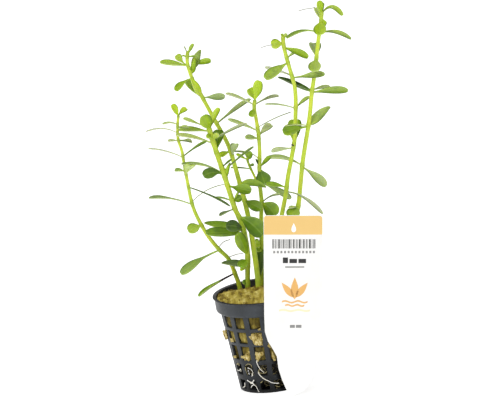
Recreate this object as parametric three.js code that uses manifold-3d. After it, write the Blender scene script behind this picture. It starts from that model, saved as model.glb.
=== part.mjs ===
// Bacopa monnieri cuttings in a net pot: a lattice pot, its mineral wool plug, six leafy stems
// and a plastic name tag that leans on the pot's collar. Millimetres, +Z up.
// The origin is the centre of the pot's underside and -Y is the front.
import * as THREE from 'three';
import { mergeVertices } from 'three/addons/utils/BufferGeometryUtils.js';
import Module from 'manifold-3d';

const wasm = await Module();
wasm.setup();

const GAP = 0.3;

// The pot: a cone of lattice under a smooth collar that stands proud of it.
const POT_HEIGHT = 48.5;
const RIM_RADIUS = 25.4;
const FOOT_RADIUS = 17.5;
const COLLAR_HEIGHT = 7.7;
const COLLAR_FOOT_RADIUS = 24.5;
const COLLAR_STEP = 2;
const WALL = 1;
const FLOOR = 1.2;
const WINDOW_COLUMNS = 16;
const WINDOW_ANGLE = 15.3;
const WINDOW_PITCH = 360 / WINDOW_COLUMNS;
const FIRST_WINDOW = -106.8;
// Top and bottom of each row of windows, below the rim.
const WINDOW_ROWS = [[8, 14.2], [15.9, 22.1], [23.6, 31.1], [33.4, 39.2], [42, 46.8]];
const COLLAR_FOOT = POT_HEIGHT - COLLAR_HEIGHT;
const NET_TOP_RADIUS = COLLAR_FOOT_RADIUS - COLLAR_STEP;

// The mineral wool: a plug that wedges in the cone, with a lumpy top that falls away at the back.
// Below it the packed roots go on down to the floor as a narrower ball.
const ROOT_BALL_RADII = [11.6, 12.6];
const WOOL_BOTTOM = 15.5;
const WOOL_EDGE = POT_HEIGHT - 1.6;
const WOOL_CROWN = POT_HEIGHT - 0.2;
const WOOL_SIDES = 16;
const WOOL_LUMP = 0.45;
const WOOL_FALL = 0.2;
const SOCKET_DEPTH = 6;

// The tag: a rounded plate that narrows to a foot, leaning back against the collar.
const TAG_THICKNESS = 0.6;
const TAG_TOP = 37.5;
const TAG_LEFT = 0.1;
const TAG_RIGHT = 29.7;
const TAG_CORNER = 1.6;
const TAG_LEAN = 0.12;
const TAG_BACK = -RIM_RADIUS - GAP - 0.05 + 6.7 * TAG_LEAN;
// Both edges of the foot, from where the plate starts to narrow down to the tip.
const TAG_LEFT_EDGE = [
  [0.6, -12], [0.9, -20.4], [2.4, -25.2], [5.2, -29.7], [7, -33], [7.7, -38.8], [9.6, -44.7], [12.1, -50.2],
];
const TAG_RIGHT_EDGE = [
  [20, -50.2], [24, -45.5], [26.5, -39], [27.8, -33], [28.8, -27], [29.5, -21],
];
const TAG_TIP = [15.6, -52.4];

// The plant is laid out on an upright sheet over the centre of the pot's rim, as someone looking
// slightly down on it would draw it. Every place is [right, up, back]: the first two lie on the
// sheet, and back is the distance behind the pot's axis.
const SHEET_TILT = THREE.MathUtils.degToRad(14.3);
const SHEET_ROLL = THREE.MathUtils.degToRad(7.5);
const TOWARD = new THREE.Vector3(0, -Math.cos(SHEET_TILT), Math.sin(SHEET_TILT));
const LEVEL = new THREE.Vector3(1, 0, 0);
const RISE = new THREE.Vector3(0, Math.sin(SHEET_TILT), Math.cos(SHEET_TILT));
const RIGHT = LEVEL.clone().multiplyScalar(Math.cos(SHEET_ROLL)).addScaledVector(RISE, -Math.sin(SHEET_ROLL));
const UP = LEVEL.clone().multiplyScalar(Math.sin(SHEET_ROLL)).addScaledVector(RISE, Math.cos(SHEET_ROLL));

const STEM_SIDES = 6;
const STEM_STEP = 8;
// Leaf outline: how far along the leaf, and the share of its full width and thickness there.
const LEAF_STATIONS = [0, 0.3, 0.62, 0.88, 1];
const LEAF_WIDTHS = [0.2, 0.42, 0.98, 0.86, 0.3];
const LEAF_DEPTHS = [0.7, 0.85, 1, 0.9, 0.5];
const LEAF_THICKNESS = 0.8;
const LEAF_MIN_BASE = 0.7;

// Each stem: radius at the foot and at the tip, its path from the wool up, and its leaves.
// A leaf is [height of its base, [tip], width, facing, arch, lift]: facing is how far the blade
// turns from edge-on (0) to showing its upper side (90) or its underside (-90), and its middle
// rises off the straight line by arch along its normal and by lift up the sheet. Leaves are
// pieces of their own; leaflets, buds and threads are grown onto the stem.
const STEMS = {
  far_left: {
    radii: [1.2, 0.85],
    path: [
      [-11.8, 2.1, 9], [-13.8, 7.8, 8], [-17.2, 15.6, 6], [-22, 20.4, 5], [-27, 26.5, 3],
      [-30.7, 32.5, 2], [-34.1, 39.4, 1], [-35.9, 45.1, 0], [-37.3, 52.1, -1], [-39.3, 62.6, -2],
      [-40.5, 69.7, -2], [-42.3, 75.3, -2], [-42.6, 82.4, -2], [-42.1, 87.9, -2],
    ],
    leaves: [
      [9, [-32.8, -2.8, 2], 3.4, 20, 0.3, -0.4],
      [20.1, [-40.8, 7.6, -3], 4.4, 60, 1.7, 0],
      [32.6, [-38, 29.8, -3], 6, 80, 0.6, 0],
      [58.6, [-36.5, 63.6, -9], 5.6, -75, 0.8, 0],
      [66.6, [-57.9, 71, -4], 1.6, 12, 0, 1],
      [78.8, [-57.4, 79.3, -5], 1.4, 10, 0, 2.1],
      [87, [-46.8, 93.1, -4], 4.4, 60, 0.5, 0],
    ],
    leaflets: [
      [51.9, [-17, 42.1, -4], 1.6, 15, 0.3, 0.6],
      [44.1, [-19.5, 52.9, 7], 0.5, 5, 0, 2],
      [60.1, [-44.7, 60.9, -1], 2, 40, 0.4, 0],
      [74.9, [-47.4, 74.9, -4], 2, 50, 0.3, 0],
      [75.1, [-35.7, 74.4, 1], 2, 30, 0.3, 0],
      [82.2, [-38.3, 82.4, 0], 2.4, 40, 0.3, 0],
      [43.1, [-57, 46.5, 3], 1.9, 35, 0, 1.5],
      [83.1, [-50.8, 83.3, -5], 1.4, 20, 0, 1],
      [87.4, [-38.1, 90.7, 0], 3.4, 55, 0.6, 0],
      [66.9, [-28.5, 74.4, -7], 2.4, 30, 0.2, 0.4],
    ],
  },
  left: {
    radii: [1.3, 1.3],
    path: [
      [-7.7, 2.6, 5], [-7.7, 9.2, 4.5], [-7.8, 19.3, 4], [-9.2, 27.9, 3], [-11.5, 35.5, 3],
      [-13.9, 40.4, 2], [-15.5, 45.3, 2], [-17.5, 51.6, 2], [-19.5, 58, 2], [-22.2, 65.8, 3],
      [-24.4, 72.5, 3], [-26.5, 79.2, 3], [-27.2, 81.6, 3],
    ],
    leaves: [
      [15.8, [-12.6, 13, -3], 5.2, 80, 0.6, 0],
      [17.4, [-16.6, 27.8, -4], 7, 75, 1, 0],
      [28.4, [-29.4, 28.9, -4], 4.6, 60, 0.4, 0.2],
      [30.2, [-29.9, 33.5, 6], 4.8, 60, 0.6, 0],
      [30.6, [-18.2, 33, -6], 6.2, 75, 0.6, 0.6],
      [36.6, [0.4, 27, -3], 9, 80, 1, 0.8],
      [52.8, [-5.8, 50, -7], 5.6, 75, 0.5, -0.5],
      [56.2, [-30.2, 57, -4], 6, 75, 0.5, 2.2],
      [69.6, [-22.5, 81.9, 8], 6.2, 75, 1, 0],
      [74.1, [-43.2, 78.8, -8], 3, 35, 0.6, 0.3],
      [80.2, [-29.3, 87.9, -2], 6.6, 80, 0.6, 0],
    ],
    leaflets: [
      [1.6, [-10.2, 4.4, 3], 2.8, 60, 0.2, 0],
      [11.3, [-12.4, 8.8, 1], 1.9, 60, 0.2, 0],
      [41.1, [-21.5, 37.5, -1], 1.9, 40, 0.2, 0],
      [44.6, [-22.2, 46.4, 4], 1.5, 20, 0.2, 0.4],
      [43.6, [-12.8, 48.8, -1], 1.3, 60, 0.2, 0],
      [45, [-10.2, 46, 0], 3.4, 70, 0.3, 0],
      [60.6, [-16.8, 64.1, -3], 1.5, 35, 0.2, 0],
      [55.8, [-17.4, 63.5, 0], 2.4, 60, 0.2, 0],
      [77, [-22.4, 78.6, -3], 3.2, 70, 0.4, 0],
      [78, [-27.9, 78.4, -2], 3, 70, 0.4, 0],
      [81.2, [-39.2, 85.9, -1], 2.2, 45, 0.2, 0],
      [59.6, [-3.4, 72.3, -2], 2.2, 20, 0.4, 0],
      [75.6, [-9.2, 84.1, -1], 2.4, 30, 0.4, 0],
      [79.2, [-42, 79.6, 5], 3.2, 45, 0.4, 0.2],
      [80.6, [-22, 91.9, 5], 3.2, 55, 0.8, 0],
      [14.2, [-21, 15.2, 0], 4.6, 55, 0.4, -0.4],
      [58.6, [-41, 63.6, -7], 2.4, 30, 0.3, 1.9],
    ],
  },
  mid_left: {
    radii: [1.5, 0.85],
    path: [
      [-2.3, 2.6, 2], [-3, 9.2, 2.5], [-4.6, 20.7, 4], [-6.8, 34.1, 6], [-8.4, 41.3, 7],
      [-9.9, 47.5, 7], [-11.7, 53.8, 8], [-14.7, 64.4, 9], [-17.1, 71.9, 9], [-20.6, 78.8, 10],
      [-24, 84.8, 10], [-28.2, 92.5, 10], [-31.5, 98.6, 9], [-34.8, 104.6, 8], [-36.7, 109.3, 7],
      [-37.8, 114.2, 6], [-37.5, 119.6, 6],
    ],
    leaves: [
      [45.6, [-0.8, 41.1, 0], 6, 75, 1, 0],
      [82.9, [-7.1, 95.1, 16], 3.4, 38, 0.6, 0],
      [95.6, [-38.4, 104.8, 12], 4.2, 60, 0.5, 0],
      [96.6, [-19.9, 97.2, 4], 4.2, 75, 0.2, 0],
      [106.1, [-46.2, 99.9, 3], 3.9, 60, 0.4, 1.3],
      [112.1, [-51.6, 113.6, 2], 3, 50, 0.4, 0],
      [53.4, [1.8, 51.8, -3], 4.2, 66, 0.3, 1.6],
    ],
    leaflets: [
      [69.4, [-21.8, 66.9, 9], 2.8, 70, 0.3, 0],
      [69.9, [-7, 68.9, 15], 1.6, 20, 0.3, 0],
      [112.1, [-43, 118.1, 9], 3.8, 75, 0.2, -0.6],
      [118.6, [-40.3, 122.9, 7], 0.8, 40, 0, 0.4],
      [67.4, [-13.4, 73.4, 1], 4.4, -75, 0.5, 0],
      [96.6, [-35.7, 105.3, 3], 3.8, 70, 0.4, 0],
      [117.6, [-34.6, 122.9, 4], 1.9, 55, 0.3, 0],
      [116, [-40.5, 116.8, 8], 1, 40, 0.1, 0],
      [116.2, [-32.8, 116.3, 4], 1.2, 40, 0.1, 0],
    ],
    shoot: {
      radius: 0.65,
      path: [[-35.9, 107.6, 7.6], [-35.2, 111.2, 8], [-34.5, 114, 8], [-34, 116.2, 8]],
    },
    shootLeaves: [
      [108, [-33.6, 115.4, 6], 2.8, 60, 0.2, 0],
      [113.2, [-25.6, 115.3, 6], 3.5, 60, 0.4, 0],
      [110.6, [-30.7, 120.8, 9], 3.6, 60, 0.3, 0],
    ],
  },
  centre: {
    radii: [1.25, 0.9],
    path: [
      [-0.5, 4.6, 10], [-0.7, 20, 11], [-0.9, 36.5, 11], [-0.7, 44.2, 10], [-1.4, 51.6, 9],
      [-1.8, 60.3, 8], [-1.7, 69.2, 8], [-2.2, 77.5, 8], [-3.4, 85.3, 8], [-4.4, 91.6, 8],
      [-4, 95.6, 8],
    ],
    leaves: [
      [21.4, [-1.5, 6.9, 5], 5.4, 65, 0.6, 0],
      [43.2, [8, 36.9, 6], 8, 80, 0.8, 1],
      [54.2, [14.6, 45.6, 12], 4, -60, 0.8, 0],
      [61, [1, 52.7, 5], 8, 80, 0.3, 0],
      [79.9, [-20.5, 85.9, 4], 2.6, 30, 0.5, 0],
      [94.4, [-0.6, 104.5, 4], 5.2, 75, 0.6, 0],
    ],
    leaflets: [
      [23.4, [-5.1, 24.6, 7], 3.8, 65, 0.3, 0],
      [23, [-4.8, 21.2, 7], 2.8, 65, 0.3, 0],
      [44, [7.5, 48.1, 5], 1.4, 20, 0.1, 1.2],
      [61.6, [6.2, 67, 4], 2.1, 50, 0.4, 0],
      [81.1, [12.5, 89.1, 6], 0.8, 5, 0, 0.8],
      [93.1, [8.1, 98, 12], 2.2, 40, 0.2, 0.8],
      [94.8, [-7.9, 100.6, 9], 4.6, 70, 0.4, 0],
      [76.1, [-10.5, 76.9, 4], 2.6, 55, 0.4, 0],
      [77.4, [4.3, 83.1, 11], 3.2, 55, 0.6, 0],
      [91.6, [-7.2, 87.4, 3], 4, 80, 0.4, 0],
      [92.9, [-18.7, 98.8, 3], 2.2, 30, 0.6, 0],
      [62, [-3.7, 65.2, 6], 1.6, 60, 0.1, 0],
      [65.4, [-6.4, 68.8, 12], 0.8, 20, 0.1, 0.7],
    ],
    shoot: {
      radius: 0.6,
      path: [[-1.4, 50.1, 9.2], [-4.4, 57.2, 11], [-6.6, 61.8, 11], [-7.8, 65.2, 10], [-7.9, 66.6, 9]],
    },
    shootLeaves: [
      [60.9, [-16.6, 61.4, 14], 1.4, 20, 0.2, 0],
      [62.4, [-4.1, 62.3, 10], 1.5, 50, 0.2, 0],
      [65, [-11.5, 67.5, 7], 2, 50, 0.2, 0],
      [64.6, [-5.6, 69.3, 7], 3.8, 65, 0.2, 0],
    ],
  },
  right: {
    radii: [1.2, 1],
    path: [
      [2.5, 2.6, 6], [5.7, 20, 4], [9.5, 38.2, 1], [11.4, 48.4, -1], [12.5, 57, -1], [14.4, 67, 0],
      [15.8, 75.9, 1], [16.2, 87.5, 1], [16.3, 94.2, 1], [15.8, 101.4, 1], [13.9, 108.5, 0.5],
      [11.8, 115.7, 0], [10.2, 122.4, -1], [9.9, 127.2, -1],
    ],
    leaves: [
      [50.1, [31, 38.9, -14], 2.8, 45, 0.6, 2.1],
      [51.4, [1.2, 53.3, -6], 3, 60, 0.5, 0.2],
      [72.6, [15.8, 85.6, 9], 7.4, 78, 0.8, 0],
      [105.9, [30.3, 107.2, -10], 3.8, 60, 0.4, 0],
      [107.4, [0.4, 111.6, 8], 2.6, -40, 0.5, 0],
      [113.7, [0.5, 105.2, -8], 5.4, 70, 0.8, 0],
      [121.4, [22.4, 116.2, -5], 4.4, 62, 0.4, 0],
      [123.1, [4.1, 122.8, -5], 5.2, 80, 0.4, 0],
    ],
    leaflets: [
      [115.4, [15.4, 118.4, -2], 1.8, 50, 0.3, 0],
      [125.6, [8.9, 128.4, 0], 2, 60, 0.2, 0],
      [125.8, [12.2, 128.2, -2], 2, 60, 0.2, 0],
      [71.7, [3.3, 70.3, -5], 2.6, -50, 0.4, 0],
      [91.9, [23.2, 98, 4], 2.3, 40, 0.3, 0],
      [91.3, [-2.4, 93.4, -5], 2.2, 15, 0.1, 0.8],
    ],
  },
  far_right: {
    radii: [1.3, 1],
    path: [
      [5.5, 2.1, 2], [12, 22, 2], [17.5, 41.6, 1], [18.6, 51.9, 0], [19.7, 63.4, -1], [20.6, 69.6, -1],
      [22.4, 80.7, -2], [23.5, 89.5, -2], [24.3, 98.4, -2], [25.3, 105.3, -2], [26.5, 115.1, -3],
      [27.6, 125.2, -3], [28.9, 134.4, -3], [29.2, 139.6, -3],
    ],
    leaves: [
      [42, [12.2, 35.4, -6], 7.2, 72, 0.6, 0],
      [62, [31, 51.9, -8], 4.6, 70, 0.6, 0],
      [63.1, [-0.2, 67.3, 15], 3, 40, 0.4, 1.8],
      [81.6, [9.3, 78.4, -11], 6, 72, 0.8, -0.2],
      [82.3, [34.1, 91.9, 4], 5.8, 62, 0.6, 0],
      [98.9, [42.2, 99.7, -6], 4.6, 62, 0.5, 0],
      [99.6, [6.8, 107, 12], 3.4, 50, 0.4, 0],
      [115.4, [24.2, 109, -12], 6.4, 80, 0.6, 0],
      [116.4, [25.6, 124.6, 6], 6, 78, 0.6, 0],
      [128.9, [45, 126.2, -1], 2.8, 40, 0.3, 2],
      [134.6, [28, 127.7, -12], 6.5, 80, 0.6, 0],
      [138.4, [39.6, 137.2, -6], 2.8, 40, 0.2, 4],
    ],
    leaflets: [
      [135, [25.4, 141.8, 2], 3.2, 60, 0.3, 0],
      [100.4, [32.9, 102.4, 6], 2.6, 45, 0.4, 0],
      [82.2, [11.3, 81.8, -10], 1.4, 25, 0.2, 0.3],
      [42.4, [12.8, 42, -4], 2.2, 35, 0.2, 0],
      [138.4, [28, 145, -6], 3.2, 70, 0.2, 0],
      [138.2, [29.9, 144.8, 1], 2.8, 60, 0.2, 0],
      [129.1, [11.1, 125.5, -10], 2.8, 40, 0.3, 2.2],
    ],
  },
};

// The point [right, up, back] of the sheet in the pot's frame.
function place([right, up, back]) {
  const point = new THREE.Vector3(0, 0, POT_HEIGHT).addScaledVector(RIGHT, right).addScaledVector(UP, up);
  return point.addScaledVector(TOWARD, (back - point.y) / TOWARD.y);
}

// A closed skin over rings of equal size. Each end is closed by a fan over its ring.
function skin(rings) {
  const around = rings[0].length;
  const positions = rings.flat().flatMap((p) => p.toArray());
  const faces = [];
  for (let r = 0; r + 1 < rings.length; r++) {
    for (let i = 0; i < around; i++) {
      const a = r * around + i;
      const b = r * around + ((i + 1) % around);
      faces.push(a, b, b + around, a, b + around, a + around);
    }
  }
  const last = (rings.length - 1) * around;
  for (let i = 1; i + 1 < around; i++) {
    faces.push(0, i + 1, i);
    faces.push(last, last + i, last + i + 1);
  }
  const geometry = new THREE.BufferGeometry();
  geometry.setAttribute('position', new THREE.Float32BufferAttribute(positions, 3));
  geometry.setIndex(faces);
  return facingOut(geometry);
}

// Turns a closed geometry's faces outward if its volume comes out negative.
function facingOut(geometry) {
  const index = geometry.index.array;
  const at = geometry.attributes.position;
  const [a, b, c] = [new THREE.Vector3(), new THREE.Vector3(), new THREE.Vector3()];
  let volume = 0;
  for (let i = 0; i < index.length; i += 3) {
    a.fromBufferAttribute(at, index[i]);
    b.fromBufferAttribute(at, index[i + 1]);
    c.fromBufferAttribute(at, index[i + 2]);
    volume += a.dot(b.cross(c));
  }
  if (volume < 0) {
    for (let i = 0; i < index.length; i += 3) {
      [index[i], index[i + 1]] = [index[i + 1], index[i]];
    }
  }
  return geometry;
}

function toManifold(geometry) {
  const bare = geometry.clone();
  bare.deleteAttribute('normal');
  bare.deleteAttribute('uv');
  const merged = mergeVertices(bare, 1e-4);
  return new wasm.Manifold(new wasm.Mesh({
    numProp: 3,
    vertProperties: new Float32Array(merged.attributes.position.array),
    triVerts: new Uint32Array(merged.index.array),
  }));
}

function fromManifold(solid) {
  const mesh = solid.getMesh();
  const geometry = new THREE.BufferGeometry();
  geometry.setAttribute('position', new THREE.Float32BufferAttribute(mesh.vertProperties, 3));
  geometry.setIndex(Array.from(mesh.triVerts));
  return geometry;
}

// A round, tapering stalk along a curve.
function stalk(curve, radii, sides = STEM_SIDES) {
  const steps = Math.max(3, Math.round(curve.getLength() / STEM_STEP));
  const frames = curve.computeFrenetFrames(steps);
  const rings = [];
  for (let s = 0; s <= steps; s++) {
    const centre = curve.getPointAt(s / steps);
    const radius = THREE.MathUtils.lerp(radii[0], radii[1], s / steps);
    rings.push(Array.from({ length: sides }, (_, i) => {
      const turn = (i / sides) * 2 * Math.PI;
      return centre.clone()
        .addScaledVector(frames.normals[s], radius * Math.cos(turn))
        .addScaledVector(frames.binormals[s], radius * Math.sin(turn));
    }));
  }
  return skin(rings);
}

// The blade's upward normal: across the leaf's axis, turned from edge-on toward the viewer.
function bladeNormal(axis, facing) {
  const front = TOWARD.clone().addScaledVector(axis, -TOWARD.dot(axis)).normalize();
  const edge = new THREE.Vector3().crossVectors(axis, front);
  if (edge.dot(UP) < 0) edge.negate();
  const angle = THREE.MathUtils.degToRad(facing);
  return edge.multiplyScalar(Math.cos(angle)).addScaledVector(front, Math.sin(angle));
}

// A spoon-shaped leaf with a narrow foot, from a point to a tip.
function leaf(base, tip, width, facing, arch, lift) {
  const axis = tip.clone().sub(base).normalize();
  const normal = bladeNormal(axis, facing);
  const bend = base.clone().lerp(tip, 0.4);
  bend.addScaledVector(normal, 2 * arch).addScaledVector(UP, 2 * lift);
  const curve = new THREE.QuadraticBezierCurve3(base, bend, tip);
  const rings = LEAF_STATIONS.map((t, s) => {
    const centre = curve.getPoint(t);
    const across = new THREE.Vector3().crossVectors(curve.getTangent(t), normal).normalize();
    const over = new THREE.Vector3().crossVectors(across, curve.getTangent(t)).normalize();
    const half = Math.max(width * LEAF_WIDTHS[s], LEAF_MIN_BASE) / 2;
    const depth = (LEAF_THICKNESS * LEAF_DEPTHS[s]) / 2;
    return [
      centre.clone().addScaledVector(across, half),
      centre.clone().addScaledVector(over, depth),
      centre.clone().addScaledVector(across, -half),
      centre.clone().addScaledVector(over, -depth),
    ];
  });
  return skin(rings);
}

function stemCurve(path) {
  return new THREE.CatmullRomCurve3(path.map(place), false, 'centripetal');
}

// Where the stem is at a height on the sheet: the point, its direction and its radius.
function onStem(curve, radii, up) {
  const rimCentre = new THREE.Vector3(0, 0, POT_HEIGHT);
  let low = 0;
  let high = 1;
  for (let i = 0; i < 24; i++) {
    const middle = (low + high) / 2;
    if (curve.getPointAt(middle).sub(rimCentre).dot(UP) < up) low = middle;
    else high = middle;
  }
  return {
    point: curve.getPointAt(low),
    along: curve.getTangentAt(low),
    radius: THREE.MathUtils.lerp(radii[0], radii[1], low),
  };
}

// A leaf that is a piece of its own starts just off the stem's side.
function looseLeaf(curve, radii, [up, tip, ...form]) {
  const { point, along, radius } = onStem(curve, radii, up);
  const end = place(tip);
  const out = end.clone().sub(point);
  out.addScaledVector(along, -out.dot(along)).normalize();
  return leaf(point.addScaledVector(out, radius + GAP + 0.2), end, ...form);
}

function grownLeaf(curve, radii, [up, tip, ...form]) {
  return leaf(onStem(curve, radii, up).point, place(tip), ...form);
}

// The stem goes on down into the wool from the first point of its path.
function rootedPath([foot, ...rest]) {
  return [[foot[0] * 0.94, foot[1] - SOCKET_DEPTH, foot[2]], foot, ...rest];
}

function buildStem({ radii, path, leaflets, shoot, shootLeaves = [] }) {
  const curve = stemCurve(rootedPath(path));
  let solid = toManifold(stalk(curve, radii));
  for (const row of leaflets) {
    solid = solid.add(toManifold(grownLeaf(curve, radii, row)));
  }
  if (shoot) {
    const side = stemCurve(shoot.path);
    const sideRadii = [shoot.radius, shoot.radius];
    solid = solid.add(toManifold(stalk(side, sideRadii, 5)));
    for (const row of shootLeaves) {
      solid = solid.add(toManifold(grownLeaf(side, sideRadii, row)));
    }
  }
  return fromManifold(solid);
}

// The stem's hole in the wool: its buried end, wider by the gap, and on up past the wool's top.
function socket({ radii, path }) {
  const curve = stemCurve(rootedPath(path));
  const depth = SOCKET_DEPTH * 2 / curve.getLength();
  const foot = curve.getPointAt(0).addScaledVector(curve.getTangentAt(0), -GAP);
  const line = new THREE.CatmullRomCurve3([foot, curve.getPointAt(depth / 2), curve.getPointAt(depth)]);
  return toManifold(stalk(line, [radii[0] + GAP + 0.1, radii[0] + GAP + 0.1], 8));
}

function netRadius(z) {
  return THREE.MathUtils.lerp(FOOT_RADIUS, NET_TOP_RADIUS, z / COLLAR_FOOT);
}

// The pot's levels from the foot up: outer [radius, z], inner [radius, z], and whether the band
// above the level has windows.
function potLevels() {
  const levels = [{ outer: [FOOT_RADIUS, 0], inner: [netRadius(FLOOR) - WALL, FLOOR], open: false }];
  for (const [top, bottom] of [...WINDOW_ROWS].reverse()) {
    const [low, high] = [POT_HEIGHT - bottom, POT_HEIGHT - top];
    levels.push({ outer: [netRadius(low), low], inner: [netRadius(low) - WALL, low], open: true });
    levels.push({ outer: [netRadius(high), high], inner: [netRadius(high) - WALL, high], open: false });
  }
  const inside = COLLAR_FOOT + COLLAR_STEP;
  const solid = (outer, inner) => levels.push({ outer, inner, open: false });
  solid([NET_TOP_RADIUS, COLLAR_FOOT], [netRadius(inside) - WALL, COLLAR_FOOT + 0.1]);
  solid([COLLAR_FOOT_RADIUS, COLLAR_FOOT], [COLLAR_FOOT_RADIUS - WALL, inside]);
  solid([RIM_RADIUS, POT_HEIGHT], [RIM_RADIUS - WALL, POT_HEIGHT]);
  return levels;
}

function netPot() {
  const levels = potLevels();
  const turns = [];
  for (let c = 0; c < WINDOW_COLUMNS; c++) {
    const middle = FIRST_WINDOW + c * WINDOW_PITCH;
    turns.push(middle - WINDOW_ANGLE / 2, middle + WINDOW_ANGLE / 2);
  }
  const count = turns.length;
  const positions = [];
  for (const side of ['outer', 'inner']) {
    for (const level of levels) {
      for (const turn of turns) {
        const angle = THREE.MathUtils.degToRad(turn);
        const [radius, z] = level[side];
        positions.push(radius * Math.cos(angle), radius * Math.sin(angle), z);
      }
    }
  }
  const outer = (l, i) => l * count + (i % count);
  const inner = (l, i) => (levels.length + l) * count + (i % count);
  const faces = [];
  const quad = (a, b, c, d) => faces.push(a, b, c, a, c, d);
  const isOpen = (l, i) => levels[l].open && i % 2 === 0;
  for (let l = 0; l + 1 < levels.length; l++) {
    for (let i = 0; i < count; i++) {
      if (isOpen(l, i)) {
        quad(outer(l, i), outer(l, i + 1), inner(l, i + 1), inner(l, i));
        quad(outer(l + 1, i), inner(l + 1, i), inner(l + 1, i + 1), outer(l + 1, i + 1));
        quad(outer(l, i), inner(l, i), inner(l + 1, i), outer(l + 1, i));
        quad(outer(l, i + 1), outer(l + 1, i + 1), inner(l + 1, i + 1), inner(l, i + 1));
      } else {
        quad(outer(l, i), outer(l, i + 1), outer(l + 1, i + 1), outer(l + 1, i));
        quad(inner(l, i), inner(l + 1, i), inner(l + 1, i + 1), inner(l, i + 1));
      }
    }
  }
  const top = levels.length - 1;
  for (let i = 0; i < count; i++) {
    quad(outer(top, i), outer(top, i + 1), inner(top, i + 1), inner(top, i));
  }
  for (let i = 1; i + 1 < count; i++) {
    faces.push(outer(0, 0), outer(0, i + 1), outer(0, i));
    faces.push(inner(0, 0), inner(0, i), inner(0, i + 1));
  }
  const geometry = new THREE.BufferGeometry();
  geometry.setAttribute('position', new THREE.Float32BufferAttribute(positions, 3));
  geometry.setIndex(faces);
  return geometry;
}

// The plug of mineral wool and its root ball, turned on a lathe, made lumpy on top and lowered at
// the back and right, with the stems' holes.
function woolPlug() {
  const fit = (z) => netRadius(z) - WALL - GAP - 0.15;
  const edge = COLLAR_FOOT_RADIUS - WALL - GAP - 0.2;
  const foot = COLLAR_FOOT + COLLAR_STEP + 0.4;
  const profile = [
    [0, FLOOR + GAP], [ROOT_BALL_RADII[0], FLOOR + GAP], [ROOT_BALL_RADII[1], WOOL_BOTTOM - 1],
    [fit(WOOL_BOTTOM), WOOL_BOTTOM], [fit(28), 28], [fit(COLLAR_FOOT), COLLAR_FOOT],
    [edge, foot], [edge, WOOL_EDGE], [edge * 0.86, WOOL_EDGE + 0.7],
    [edge * 0.66, WOOL_CROWN - 0.3], [edge * 0.4, WOOL_CROWN], [0, WOOL_CROWN],
  ];
  const lathe = new THREE.LatheGeometry(profile.map(([r, z]) => new THREE.Vector2(r, z)), WOOL_SIDES);
  lathe.rotateX(Math.PI / 2);
  const at = lathe.attributes.position;
  for (let i = 0; i < at.count; i++) {
    const [x, y, z] = [at.getX(i), at.getY(i), at.getZ(i)];
    if (z < WOOL_EDGE - 0.1) continue;
    const lump = z > WOOL_EDGE + 0.1 ? Math.sin(x * 0.9 + 1) + Math.sin(y * 1.1 + x * 0.4) : 0;
    const back = THREE.MathUtils.clamp(y - 4, 0, 16) * THREE.MathUtils.clamp((x + 22) / 14, 0, 1);
    at.setZ(i, z + WOOL_LUMP * lump * 0.5 - WOOL_FALL * back);
  }
  let solid = toManifold(lathe);
  if (solid.volume() < 0) throw new Error('the plug is inside out');
  for (const stem of Object.values(STEMS)) solid = solid.subtract(socket(stem));
  return fromManifold(solid);
}

// The tag's plate, drawn on the sheet as its back face and extruded toward the front.
function tagPlate() {
  const shape = new THREE.Shape();
  shape.moveTo(...TAG_TIP);
  for (const point of TAG_RIGHT_EDGE) shape.lineTo(...point);
  shape.lineTo(TAG_RIGHT, TAG_TOP - TAG_CORNER);
  shape.absarc(TAG_RIGHT - TAG_CORNER, TAG_TOP - TAG_CORNER, TAG_CORNER, 0, Math.PI / 2);
  shape.absarc(TAG_LEFT + TAG_CORNER, TAG_TOP - TAG_CORNER, TAG_CORNER, Math.PI / 2, Math.PI);
  for (const point of TAG_LEFT_EDGE) shape.lineTo(...point);
  const geometry = new THREE.ExtrudeGeometry(shape, {
    depth: TAG_THICKNESS, bevelEnabled: false, curveSegments: 4,
  });
  const origin = place([0, 0, TAG_BACK]);
  const across = place([1, 0, TAG_BACK]).sub(origin).normalize();
  const upward = place([0, 1, TAG_BACK + TAG_LEAN]).sub(origin);
  const out = new THREE.Vector3().crossVectors(across, upward).normalize();
  const basis = new THREE.Matrix4().makeBasis(across, upward, out);
  geometry.applyMatrix4(basis.setPosition(origin));
  const bare = geometry.clone();
  bare.deleteAttribute('normal');
  bare.deleteAttribute('uv');
  return mergeVertices(bare, 1e-4);
}

function material(color, roughness) {
  return new THREE.MeshStandardMaterial({ color, roughness, metalness: 0 });
}

const part = new THREE.Group();

function addPiece(name, geometry, look) {
  const mesh = new THREE.Mesh(geometry, look);
  mesh.name = name;
  part.add(mesh);
}

addPiece('net_pot', netPot(), material('#45494e', 0.55));
addPiece('mineral_wool', woolPlug(), material('#b29a4c', 0.95));
addPiece('name_tag', tagPlate(), material('#f7f6f2', 0.35));
for (const [side, stem] of Object.entries(STEMS)) {
  addPiece(`stem_${side}`, buildStem(stem), material('#a8cc34', 0.45));
  const curve = stemCurve(rootedPath(stem.path));
  stem.leaves.forEach((row, i) => {
    addPiece(`leaf_${side}_${i + 1}`, looseLeaf(curve, stem.radii, row), material('#5f9c2c', 0.45));
  });
}

export default part;
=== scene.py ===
"""Bacopa monnieri cuttings in a net pot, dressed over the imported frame.

Lengths are written in millimetres and turned to metres where Blender takes them.
The origin is the centre of the pot's underside, +Z is up and -Y is the front.
"""

import math
import random

import bpy
from mathutils import Matrix, Vector


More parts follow.
